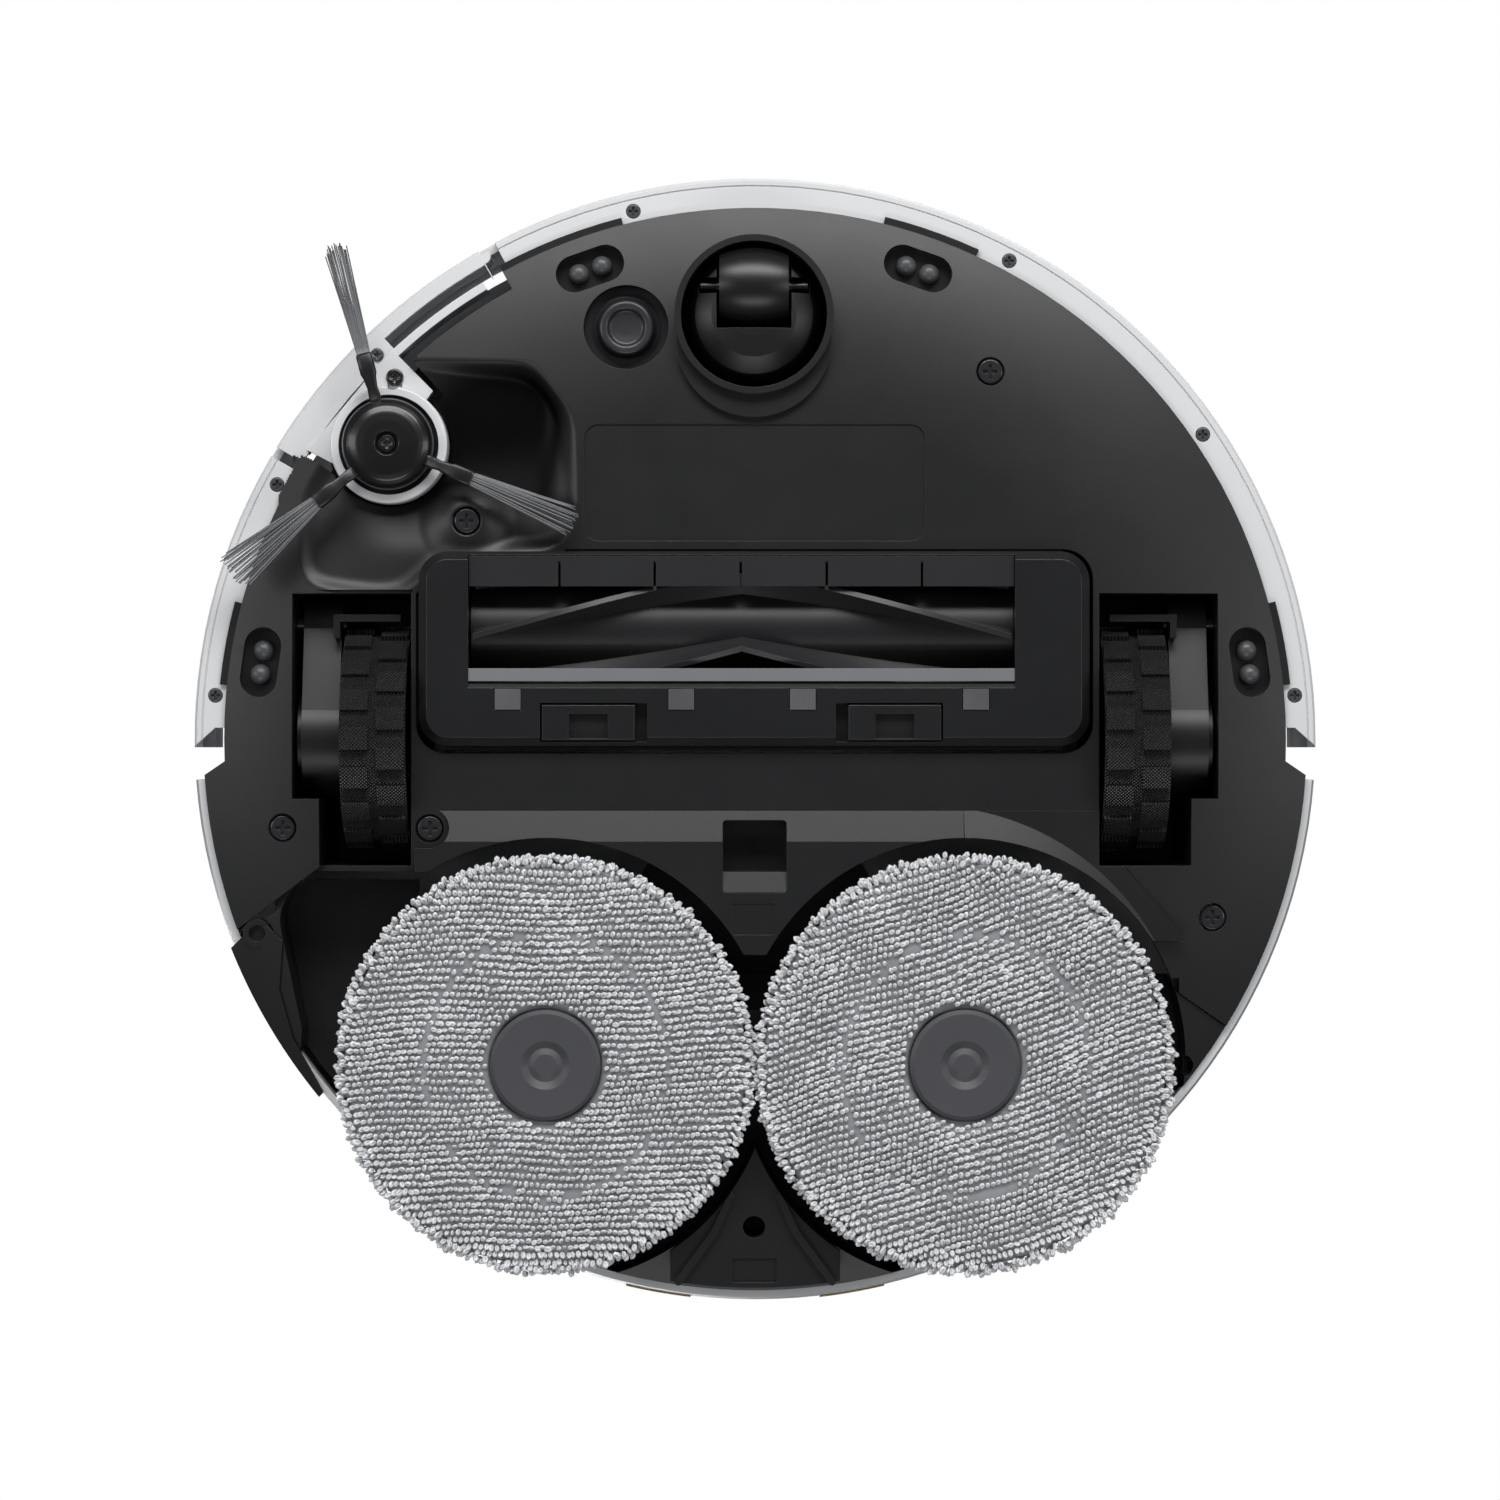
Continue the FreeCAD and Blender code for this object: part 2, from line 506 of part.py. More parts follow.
def cliff_sensor_lenses():
    lenses = []
    for x, y, direction in CLIFF_SENSORS:
        for side in (-1, 1):
            dx, dy = polar(side * 3.7, direction)
            dome = Part.makeSphere(2.7, V(x + dx, y + dy, 21.6))
            lenses.append(dome.common(box(x - 20, x + 20, y - 20, y + 20, 0, 22.5)))
    return Part.makeCompound(lenses)


def round_sensor():
    profile = ((0, 15.6), (5.5, 15.2), (5.9, 14.4), (7.6, 14.0), (8.5, 15.0), (8.5, 19.5), (0, 19.5))
    return spun(profile, *ROUND_SENSOR)


def chassis_screws():
    heads = [(x, y, skin_height(math.hypot(x, y)) + 0.6) for x, y in PAN_SCREWS]
    return Part.makeCompound([screw(x, y, 3.8, z, 21) for x, y, z in heads])


def wheel_housing(side):
    """The box over one drive wheel, open underneath, with holes for the arm's pivot pin."""
    outer = box(-143.0, -103.3, -46.2, 40.6, 12.0, WELL_TOP + 2)
    inner = prism(WELL_OUTLINE, 0, WELL_TOP)
    housing = outer.cut([inner, box(-150, -135.3, 20.2, 50, 0, 80)]).common(above_skin(PAN_WALL + 0.1, 90.0))
    housing = housing.cut(cross_rod(2.5, -160, -90, ARM_AXIS_Y, ARM_AXIS_Z))
    housing = housing.cut(disc(-99.4, 27.4, 6.4, 0, 18.3))
    return housing if side < 0 else mirrored(housing)


def drive_arm(side):
    """One suspension arm: a gear case from the pivot to the wheel's axle, with a fork bar in front."""
    case = bar((-36.0, 0.0), (0.0, 0.0), 15.0, -139.4, -127.6)
    case = case.fuse(disc(0, 0, 17.0, -139.4, -127.6))
    case = case.fuse(prism(((-36, 7), (0, 17), (0, -17), (-36, -7)), -139.4, -127.6)).removeSplitter()
    case.rotate(V(0, 0, 0), V(1, 1, 1), 120)
    case.translate(V(0, 0, WHEEL_Z - 1.5))
    cover = cross_rod(13.0, -141.0, -139.0, 0, WHEEL_Z - 1.5)
    fork = box(-129.0, -109.0, -38.2, -36.0, 19.4, 22.4)
    fork_side = box(-129.6, -127.6, -38.2, -31.0, 19.4, 27.0)
    arm = joined([case, cover, fork, fork_side])
    arm = arm.cut(cross_rod(2.55, -160, -100, ARM_AXIS_Y, ARM_AXIS_Z))
    arm = arm.cut(cross_rod(4.05, -135, -120, 0, WHEEL_Z))
    return arm if side < 0 else mirrored(arm)


def arm_pivot_pins():
    pin = cross_rod(2.5, -143.0, -126.6, ARM_AXIS_Y, ARM_AXIS_Z)
    return Part.makeCompound([pin, mirrored(pin)])


def wheel_hub(side):
    """The wheel's rim, web and axle stub."""
    x0 = -WHEEL_X - WHEEL_WIDTH / 2
    x1 = -WHEEL_X + WHEEL_WIDTH / 2
    rim = cross_rod(30.5, x0 + 1, x1 - 1, 0, WHEEL_Z).cut(cross_rod(27.5, x0 + 5, x1 + 5, 0, WHEEL_Z))
    boss = cross_rod(8.0, x0 + 2, x1 - 2, 0, WHEEL_Z)
    hub = joined([rim, boss, cross_rod(4.0, -134.5, x0 + 3, 0, WHEEL_Z)])
    holes = []
    for i in range(6):
        y, z = polar(18.0, 60 * i)
        holes.append(cross_rod(4.5, x0 - 2, x1 + 2, y, WHEEL_Z + z))
    hub = hub.cut(holes)
    return hub if side < 0 else mirrored(hub)


def tyre(side):
    """The rubber tread: two rows of staggered blocks either side of a smooth middle rib."""
    x0 = -WHEEL_X - WHEEL_WIDTH / 2
    x1 = -WHEEL_X + WHEEL_WIDTH / 2
    core = cross_rod(WHEEL_RADIUS - 1.6, x0, x1, 0, WHEEL_Z)
    blocks = []
    for row in (0, 1):
        for i in range(18):
            start = x0 + 0.3 + row * 11.0
            block = box(start, start + 8.4, -3.4, 3.4, WHEEL_RADIUS - 3, WHEEL_RADIUS + 2)
            block.rotate(V(0, 0, 0), V(1, 0, 0), 20 * i + 10 * row)
            block.translate(V(0, 0, WHEEL_Z))
            blocks.append(block)
    tread = core.fuse(blocks).common(cross_rod(WHEEL_RADIUS, x0, x1, 0, WHEEL_Z))
    shape = tread.cut(cross_rod(30.5, x0 - 1, x1 + 1, 0, WHEEL_Z))
    return shape if side < 0 else mirrored(shape)


def caster_dome():
    """The swivelling cup that carries the caster's wheel, with a stem up into the socket."""
    profile = ((0, 4.6), (7, 5.0), (13, 6.4), (18, 9.0), (20.6, 11.4), (21.9, 14.0), (21.9, 24.0), (0, 24.0))
    dome = spun(profile, CASTER_X, CASTER_Y)
    stem = disc(CASTER_X, CASTER_Y, 4.0, 24.0, 37.4)
    notch = box(CASTER_X - 11.4, CASTER_X + 11.4, -153, -125.0, 0, 24.4)
    slots = box(CASTER_X - 16.8, CASTER_X + 16.8, CASTER_WHEEL_Y - 2.4, CASTER_WHEEL_Y + 2.4, 0, 13.55)
    cap = disc(CASTER_X, CASTER_Y, 21.9, 24.0, 27.0)
    return joined([dome, stem, cap]).cut([notch, slots])


def caster_wheel():
    """A narrow barrel-shaped roller."""
    half = 10.6
    side = Part.Arc(V(-half, 0, 10.0), V(0, 0, CASTER_WHEEL_RADIUS), V(half, 0, 10.0)).toShape()
    edges = [Part.makeLine(V(-half, 0, 1.55), V(-half, 0, 10.0)), side]
    edges.append(Part.makeLine(V(half, 0, 10.0), V(half, 0, 1.55)))
    edges.append(Part.makeLine(V(half, 0, 1.55), V(-half, 0, 1.55)))
    wheel = Part.Face(Part.Wire(edges)).revolve(V(0, 0, 0), V(1, 0, 0), 360)
    wheel.translate(V(CASTER_X, CASTER_WHEEL_Y, CASTER_WHEEL_RADIUS))
    return wheel


def caster_axle():
    return cross_rod(1.5, CASTER_X - 16.4, CASTER_X + 16.4, CASTER_WHEEL_Y, CASTER_WHEEL_RADIUS)


def brush_guard():
    """The clip-in frame under the roller: two end caps, a front lip and a wide rear bar."""
    guard = slab(*GUARD_X, *GUARD_Y, GUARD_Z, 13.0, 9.0)
    low = [e for e in guard.Edges if e.BoundBox.ZLength < 0.01 and abs(e.BoundBox.ZMin - GUARD_Z) < 0.01]
    guard = guard.makeChamfer(2.6, low)
    window = box(*WINDOW_X, *WINDOW_Y, 0, 60)
    middle = box(WINDOW_X[0] - 1.8, WINDOW_X[1] + 1.8, -60, 5, 0, 60)
    inside = box(-99.0, 98.0, -54.0, -2.0, 8.4, 60).cut(middle)
    facet = prism(((-14.2, GUARD_Z - 1), (-17.4, GUARD_Z + 1.6), (-17.4, GUARD_Z - 1)), -87.4, 79.1)
    facet.rotate(V(0, 0, 0), V(1, 1, 1), 120)
    felt = [box(x - 4.1, x + 4.1, -15.4, -8.6, 0, GUARD_Z + 0.6) for x in FELT_X]
    bays = []
    for i, centre in enumerate(LATCH_CENTRES):
        shift = LATCH_TRAVEL if i == 0 else -LATCH_TRAVEL
        low_x = min(centre - 14.3, centre - 14.3 + shift) - 0.4
        high_x = max(centre + 14.3, centre + 14.3 + shift) + 0.4
        bays.append(box(low_x, high_x, -10.9, 1.0, 0, 10.4))
    return guard.cut([window, inside, facet] + felt + bays)


def guard_latch(centre):
    """A sliding catch with a thumb recess."""
    latch = box(centre - 14.3, centre + 14.3, -10.5, 0.6, 5.9, 10.0)
    rim = [e for e in latch.Edges if e.BoundBox.ZLength < 0.01 and abs(e.BoundBox.ZMin - 5.9) < 0.01]
    latch = latch.makeChamfer(0.4, rim)
    return latch.cut([box(centre - 6.0, centre + 6.0, -7.6, 0.0, 0, 8.2)])


def flap_strip():
    """Six rubber flaps in front of the roller, on one strip."""
    strip = box(-87.2, 78.9, -55.7, -46.4, 7.2, 8.8)
    root = box(-87.2, 78.9, -55.7, -53.4, 8.8, 12.8)
    slots = [box(x - 0.4, x + 0.4, -54.0, -40, 0, 9.0) for x in (-59.6, -30.6, -4.4, 21.8, 50.8)]
    return strip.fuse(root).removeSplitter().cut(slots)


def scraper_bar():
    return box(-87.3, 79.0, -21.4, -17.5, 6.0, 9.4)


def felt_pads():
    return Part.makeCompound([box(x - 3.9, x + 3.9, -15.2, -8.8, 5.3, GUARD_Z + 0.6) for x in FELT_X])


def brush_housing():
    """The tunnel over the roller, with a duct up to the dust bin."""
    outer = box(-98.0, 94.0, -58.6, 3.4, 13.8, 52.6)
    tunnel = cross_rod(24.0, ROLLER_X - 86.0, ROLLER_X + 86.0, ROLLER_Y, ROLLER_Z)
    mouth = box(ROLLER_X - 86.0, ROLLER_X + 86.0, -57.0, -11.0, 0, ROLLER_Z)
    hollow = box(-96.0, 92.0, -9.0, 1.6, 0, 50.6)
    duct = box(-40.0, 32.0, -30.0, -12.0, 40.0, 60.0)
    recess = box(-88.0, 80.0, -56.5, -11.0, 0, 16.0)
    bearings = [cross_rod(4.05, ROLLER_X - 91, ROLLER_X - 80, ROLLER_Y, ROLLER_Z)]
    bearings.append(cross_rod(4.05, ROLLER_X + 80, ROLLER_X + 91, ROLLER_Y, ROLLER_Z))
    return outer.cut([tunnel, mouth, hollow, duct, recess] + bearings)


def roller_core():
    core = cross_rod(14.0, ROLLER_X - ROLLER_HALF, ROLLER_X + ROLLER_HALF, ROLLER_Y, ROLLER_Z)
    stub = cross_rod(4.0, ROLLER_X - 90.0, ROLLER_X + 90.0, ROLLER_Y, ROLLER_Z)
    return core.fuse(stub).removeSplitter()


def roller_vanes():
    """Chevron blades, each twisting back evenly from the middle of the roller to both ends."""
    steps = 6
    twist = 62.0
    section = ((13.8, -1.6), (ROLLER_RADIUS, -0.9), (ROLLER_RADIUS, 0.9), (13.8, 1.6))
    blades = []
    for side in (-1, 1):
        for vane in range(VANES):
            wires = []
            for i in range(steps + 1):
                x = ROLLER_X + side * (ROLLER_HALF - 1.0) * i / steps
                turn = 360.0 / VANES * vane + twist * i / steps
                corners = []
                for radius, across in section:
                    angle = turn + math.degrees(across / radius)
                    y, z = polar(radius, angle)
                    corners.append(V(x, ROLLER_Y + y, ROLLER_Z + z))
                wires.append(Part.makePolygon(corners + corners[:1]))
            blades.append(Part.makeLoft(wires, True, True))
    core = cross_rod(14.0, -200, 200, ROLLER_Y, ROLLER_Z)
    return Part.makeCompound([b.cut(core) for b in blades])


def brush_motor():
    can = cross_rod(13.0, -60, -20, 18, 38)
    return joined([can, box(-94.0, -60, 4.2, 30, 18.4, 52)])


def mop_carriage():
    """The lifting bridge: it holds the right mop's shaft and the pivot of the left mop's arm."""
    right = disc(MOP_X, MOP_Y, 22.0, 16.0, 31.0)
    beam = bar((MOP_X, MOP_Y), (-20.0, MOP_Y), 30.0, 25.5, 31.0)
    reach = bar((-20.0, MOP_Y), (-MOP_X, MOP_ARM_Y + 6.0), 22.0, 25.5, 31.0)
    pivot = disc(-MOP_X, MOP_ARM_Y + 6.0, 4.0, 17.0, 26.0)
    shaft = disc(MOP_X, MOP_Y, 5.0, PAD_TOP + 0.4, 17.0)
    bridge = joined([right, beam, reach, pivot, shaft])
    return bridge.cut([disc(x, MOP_Y, 3.3, 20, 40) for x in (-14.0, 14.0)])


def mop_arm():
    """The swinging arm of the left mop, with the mop's drive shaft."""
    arm = bar((-MOP_X, MOP_ARM_Y + 6.0), (-MOP_X, MOP_Y), 26.0, 16.0, 25.0)
    head = disc(-MOP_X, MOP_Y, 20.0, 16.0, 25.0)
    shaft = disc(-MOP_X, MOP_Y, 5.0, PAD_TOP + 0.4, 17.0)
    arm = joined([arm, head, shaft])
    return arm.cut(disc(-MOP_X, MOP_ARM_Y + 6.0, 4.05, 0, 60))


def mop_side_flap():
    """The door beside the left mop: it swings out with the mop and closes the body's edge at rest."""
    flap = flap_plan(0.0, 0, 23.8).common(above_skin(0.5))
    ear = disc(*FLAP_PIVOT, 4.4, 20.6, 23.8)
    return joined([flap, ear]).cut(disc(*FLAP_PIVOT, 2.6, 0, 22.6))


def mop_plate(side):
    """The drive plate over one mop, with the boss that fills the pad's centre and its round dimple."""
    plate = disc(0, 0, 56.0, PAD_TOP + 0.1, PLATE_TOP)
    dimple = ((0, 2.6), (3.3, 2.6), (5.2, 3.4), (7.4, 2.0))
    boss = spun(dimple + ((15.6, 1.6), (16.8, 2.6), (16.8, 11), (0, 11)))
    collar = disc(0, 0, 9.0, PLATE_TOP, 15.6)
    plate = joined([plate, boss, collar]).cut(disc(0, 0, 5.05, PAD_TOP + 0.3, 20))
    plate.translate(V(side * MOP_X, MOP_Y, 0))
    return plate


def mop_pad(side):
    """A round terry pad with a hole for the plate's boss, resting flat on the floor."""
    profile = ((17.2, 1.0), (19.0, 0), (59.5, 0), (61.6, 1.4), (PAD_RADIUS, 4.0), (61.6, 7.4), (58, PAD_TOP),
               (17.2, PAD_TOP))
    return spun(profile, side * MOP_X, MOP_Y)


def top_cover():
    """The deck with a skirt, the bay over the dust bin and the raised rear part round the turret."""
    deck = disc(0, 0, DECK_RADIUS, DECK_Z, DECK_Z + DECK_THICKNESS)
    skirt = disc(0, 0, FRONT_WALL_RADIUS, 46.4, DECK_Z + 0.5)
    skirt = skirt.cut(disc(0, 0, FRONT_WALL_RADIUS - 2.2, 40, 90))
    raised = spun(((0, 84), (DECK_RADIUS, 84), (DECK_RADIUS, 86.4), (166.8, TOP_Z), (0, TOP_Z)))
    raised = raised.common(box(-200, 200, RAISED_FRONT_Y, 200, 0, 100))
    cover = joined([deck, skirt, raised])
    bay = slab(-78.2, 50.2, -60.2, -1.8, 60, 100, 6.0)
    turret = disc(0, TURRET_Y, TURRET_RADIUS - 3.0, 60, 100)
    cuts = [bay, turret]
    additions = []
    for side in (-1, 1):
        button_x = side * BUTTON_X
        hinge_x = side * HINGE_X
        hole = disc(button_x, BUTTON_Y, 7.3, 60, 100)
        cuts += [hole, box(hinge_x - 6.3, hinge_x + 6.3, 6.0, RAISED_FRONT_Y, 80, 90)]
        additions.append(disc(button_x, BUTTON_Y, 9.2, 78, 86).cut(hole))
        for end in (-7.3, 7.3):
            bearing_x = hinge_x + end
            additions.append(box(bearing_x - 1.0, bearing_x + 1.0, 9.0, RAISED_FRONT_Y, 82.5, 87.3))
    cover = joined([cover.cut(cuts)] + additions)
    pins = [cross_rod(1.5, x - 8.4, x + 8.4, HINGE_Y, HINGE_Z) for x in (-HINGE_X, HINGE_X)]
    return cover.cut(pins)


def lid():
    """The hinged front cover plate; its rear edge turns on two short pins."""
    plate = spun(((0, 85.4), (DECK_RADIUS, 85.4), (DECK_RADIUS, 86.6), (167.0, TOP_Z), (0, TOP_Z)))
    plate = plate.common(box(-200, 200, -200, LID_REAR_Y, 0, 100))
    pieces = [plate.cut([box(x - 8.6, x + 8.6, 7.0, 20, 80, 90) for x in (-HINGE_X, HINGE_X)])]
    for x in (-HINGE_X, HINGE_X):
        pieces.append(cross_rod(1.8, x - 6.0, x + 6.0, HINGE_Y, HINGE_Z))
        pieces.append(box(x - 6.0, x + 6.0, 6.0, HINGE_Y, 85.4, 87.4))
        pieces.append(cross_rod(1.45, x - 8.2, x + 8.2, HINGE_Y, HINGE_Z))
    return joined(pieces)


def lidar_base():
    """The ring that the turret stands on, with four posts up to its cap."""
    ring = disc(0, TURRET_Y, TURRET_RADIUS - 3.2, 74, TOP_Z + 0.6)
    ring = ring.cut(disc(0, TURRET_Y, TURRET_RADIUS - 6.0, 76, 100))
    step = disc(0, TURRET_Y, TURRET_RADIUS, TOP_Z + 0.1, TOP_Z + 2.0)
    step = step.cut(disc(0, TURRET_Y, TURRET_RADIUS - 6, 70, 100))
    posts = []
    for i in range(4):
        x, y = polar(TURRET_RADIUS - 3.6, 45 + 90 * i)
        posts.append(disc(x, TURRET_Y + y, 1.6, TOP_Z + 1.0, 99.0))
    return joined([ring, step] + posts)


def lidar_window():
    ring = disc(0, TURRET_Y, TURRET_RADIUS - 0.6, TOP_Z + 2.0, 99.0)
    return ring.cut(disc(0, TURRET_Y, TURRET_RADIUS - 1.8, 80, 100))


def lidar_cap():
    top = ((0, 99.0), (TURRET_RADIUS, 99.0), (TURRET_RADIUS, 102.0), (TURRET_RADIUS - 0.8, 103.4))
    return spun(top + ((TURRET_RADIUS - 2.6, TURRET_TOP), (0, TURRET_TOP)), 0, TURRET_Y)


def lidar_spinner():
    """The turning head inside the turret, with its two lens tubes facing forwards."""
    drum = disc(0, TURRET_Y, 34.0, 77.0, 84.0)
    head = box(-22, 22, TURRET_Y - 16, TURRET_Y + 12, 84, 97)
    lenses = [Part.makeCylinder(5.0, 8.0, V(x, TURRET_Y - 22, 91), V(0, 1, 0)) for x in (-11, 11)]
    return joined([drum, head] + lenses)


def push_button(x):
    """A round key with a collar that keeps it in its hole."""
    key = disc(x, BUTTON_Y, 6.9, 80.0, TOP_Z + 0.5)
    collar = disc(x, BUTTON_Y, 9.0, 74.6, 77.0)
    return joined([key, collar, disc(x, BUTTON_Y, 5.0, 76, 81)])


def dust_bin():
    """The lift-out box for dust, open to the duct below, with a bay for its filter."""
    outer = slab(-77.6, 49.6, -59.6, -2.4, 54.0, 82.0, 5.6)
    inner = box(-75.4, 15.0, -57.4, -4.6, 56.0, 79.8)
    inlet = box(-40.0, 12.0, -30.0, -12.0, 50, 60)
    filter_bay = box(17.0, 47.4, -57.4, -4.6, 56.0, 79.8)
    port = box(40, 60, -50, -12, 60, 76)
    return outer.cut([inner, inlet, filter_bay, port, box(14, 18, -50, -12, 60, 76)])


def bin_filter():
    """A pleated filter block in its frame."""
    block = box(18.0, 46.6, -56.8, -5.2, 56.6, 79.2)
    pleats = [box(22.0, 47.0, -54.6 + 5.0 * i, -52.6 + 5.0 * i, 60, 79.5) for i in range(10)]
    return block.cut(pleats)


def suction_fan():
    fan = disc(80.0, -31.0, 22.5, 54.0, 80.0)
    return joined([fan, box(50.0, 76.0, -46.0, -16.0, 61.0, 75.0)])


def battery_pack():
    return slab(-48.0, 82.0, -101.0, -62.0, 24.0, 52.0, 4.0)


def main_board():
    """The circuit board with its larger parts."""
    board = box(-80.0, 82.0, -126.0, -64.0, 57.0, 58.6)
    places = ((-60, -110), (-30, -90), (10, -110), (50, -92))
    chips = [box(x, x + 14, y, y + 14, 58.4, 61.0) for x, y in places]
    return joined([board] + chips)


def water_tank():
    return slab(-60.0, -26.0, 108.0, 142.0, 46.0, 78.0, 5.0)


def camera_module():
    body = box(-14.0, 14.0, -152.0, -140.0, 50.0, 62.0)
    return joined([body, Part.makeCylinder(4.0, 4.4, V(0, -156.4, 56.0), V(0, 1, 0))])


def charging_contacts():
    plates = []
    for side in (-1, 1):
        centre = side * 30.0
        plates.append(box(centre - 10, centre + 10, 168.9, 180, 30, 38).common(disc(0, 0, 174.2, 0, 60)))
    return Part.makeCompound(plates)


def sides(name, build):
    return {name + "_left": build(-1), name + "_right": build(1)}


def all_parts():
    parts = {
        "bottom_pan": bottom_pan(),
        "rear_panel": rear_panel(),
        "mop_module_base": mop_module_base(),
        "rear_shell": rear_shell(),
        "front_bumper": front_bumper(),
        "bumper_screws": bumper_screws(),
        "bumper_window": bumper_window(),
        "side_brush_arm": side_brush_arm(),
        "side_brush_housing": side_brush_housing(),
        "side_brush_hub": side_brush_hub(),
        "side_brush_sleeves": side_brush_sleeves(),
        "side_brush_bristles": side_brush_bristles(),
        "cliff_sensor_lenses": cliff_sensor_lenses(),
        "round_sensor": round_sensor(),
        "chassis_screws": chassis_screws(),
        "arm_pivot_pins": arm_pivot_pins(),
        "caster_dome": caster_dome(),
        "caster_wheel": caster_wheel(),
        "caster_axle": caster_axle(),
        "brush_guard": brush_guard(),
        "guard_latch_left": guard_latch(LATCH_CENTRES[0]),
        "guard_latch_right": guard_latch(LATCH_CENTRES[1]),
        "flap_strip": flap_strip(),
        "scraper_bar": scraper_bar(),
        "felt_pads": felt_pads(),
        "brush_housing": brush_housing(),
        "roller_core": roller_core(),
        "roller_vanes": roller_vanes(),
        "brush_motor": brush_motor(),
        "mop_carriage": mop_carriage(),
        "mop_arm": mop_arm(),
        "mop_side_flap": mop_side_flap(),
        "top_cover": top_cover(),
        "lid": lid(),
        "lidar_base": lidar_base(),
        "lidar_window": lidar_window(),
        "lidar_cap": lidar_cap(),
        "lidar_spinner": lidar_spinner(),
        "power_button": push_button(-BUTTON_X),
        "home_button": push_button(BUTTON_X),
        "dust_bin": dust_bin(),
        "bin_filter": bin_filter(),
        "suction_fan": suction_fan(),
        "battery_pack": battery_pack(),
        "main_board": main_board(),
        "water_tank": water_tank(),
        "camera_module": camera_module(),
        "charging_contacts": charging_contacts(),
    }
    for name, build in (("wheel_housing", wheel_housing), ("drive_arm", drive_arm), ("wheel_hub", wheel_hub),
                        ("tyre", tyre), ("mop_plate", mop_plate), ("mop_pad", mop_pad)):
        parts.update(sides(name, build))
    return parts


os.makedirs("parts", exist_ok=True)
for part_name, part_shape in all_parts().items():
    save(part_name, part_shape)
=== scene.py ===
import math

import bpy
import numpy as np
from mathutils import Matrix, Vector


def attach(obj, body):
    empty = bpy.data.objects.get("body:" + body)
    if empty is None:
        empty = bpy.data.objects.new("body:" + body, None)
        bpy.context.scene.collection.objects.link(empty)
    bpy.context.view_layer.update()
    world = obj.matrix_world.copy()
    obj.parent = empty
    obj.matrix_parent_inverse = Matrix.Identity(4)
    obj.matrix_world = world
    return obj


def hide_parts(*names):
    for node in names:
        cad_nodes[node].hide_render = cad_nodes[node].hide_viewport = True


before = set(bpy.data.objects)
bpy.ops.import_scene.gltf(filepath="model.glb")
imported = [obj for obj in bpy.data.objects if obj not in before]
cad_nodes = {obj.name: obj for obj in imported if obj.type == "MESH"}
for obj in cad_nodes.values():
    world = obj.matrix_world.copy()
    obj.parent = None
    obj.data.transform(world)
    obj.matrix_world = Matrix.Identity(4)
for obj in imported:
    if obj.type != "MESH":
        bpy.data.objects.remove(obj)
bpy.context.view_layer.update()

# The stand the robot is shown on: a pale floor, soft boxes below and above, and a camera under the belly.
# The floor is one-sided, so it shows from above and lets the camera and the lower lights through from below.
scene = bpy.context.scene
scene.view_settings.view_transform = "Standard"


def wire(tree, kind, inputs=None, **settings):
    """A shader node with its settings and inputs: an input that is a socket is linked, any other is set."""
    made = tree.nodes.new(kind)
    for key, value in settings.items():
        setattr(made, key, value)
    for key, value in (inputs or {}).items():
        if isinstance(value, bpy.types.NodeSocket):
            tree.links.new(value, made.inputs[key])
        else:
            made.inputs[key].default_value = value
    return made


def soft_box(name, place, target, size, power, tint=(1.0, 1.0, 1.0)):
    """A rectangular area light that faces its target and that the camera doesn't see."""
    data = bpy.data.lights.new(name, "AREA")
    data.shape = "RECTANGLE"
    data.size, data.size_y = size
    data.energy = power
    data.color = tint
    lamp = bpy.data.objects.new(name, data)
    lamp.location = place
    towards = Vector(target) - Vector(place)
    lamp.rotation_euler = towards.to_track_quat("-Z", "Y").to_euler()
    lamp.visible_camera = False
    scene.collection.objects.link(lamp)


soft_box("under_front_box", (0.05, -1.05, -0.85), (0, -0.02, 0), (1.5, 0.5), 21.0)
soft_box("under_left_box", (-1.3, -0.25, -0.9), (0, 0, 0), (0.4, 1.2), 6.0)
soft_box("under_right_box", (1.3, -0.1, -0.9), (0, 0, 0), (0.4, 1.2), 5.0)
soft_box("under_rear_box", (0.0, 1.2, -1.1), (0, 0, 0), (1.2, 0.4), 6.0)
soft_box("over_front_box", (0.5, -1.0, 1.3), (0, 0, 0.05), (1.2, 1.0), 26.0)
soft_box("over_rear_box", (-0.7, 0.9, 1.4), (0, 0, 0.05), (1.2, 1.0), 16.0)

camera_data = bpy.data.cameras.new("belly_camera")
camera_data.lens = 100.0
camera_data.sensor_width = 36.0
camera_data.clip_end = 100.0
camera = bpy.data.objects.new("belly_camera", camera_data)
camera.location = (-0.00157, 0.00345, -1.2617)
camera.rotation_euler = (math.pi, 0.0, 0.0)
scene.collection.objects.link(camera)
scene.camera = camera

world = bpy.data.worlds.new("studio")
world.use_nodes = True
scene.world = world
sky = world.node_tree
sky.nodes.clear()
ray = wire(sky, "ShaderNodeLightPath")
dim = wire(sky, "ShaderNodeBackground", {"Color": (0.9, 0.93, 1.0, 1), "Strength": 0.11})
bright = wire(sky, "ShaderNodeBackground", {"Color": (1, 1, 1, 1), "Strength": 1.0})
seen = {0: ray.outputs["Is Camera Ray"], 1: dim.outputs[0], 2: bright.outputs[0]}
shown = wire(sky, "ShaderNodeMixShader", seen)
wire(sky, "ShaderNodeOutputWorld", {"Surface": shown.outputs[0]})

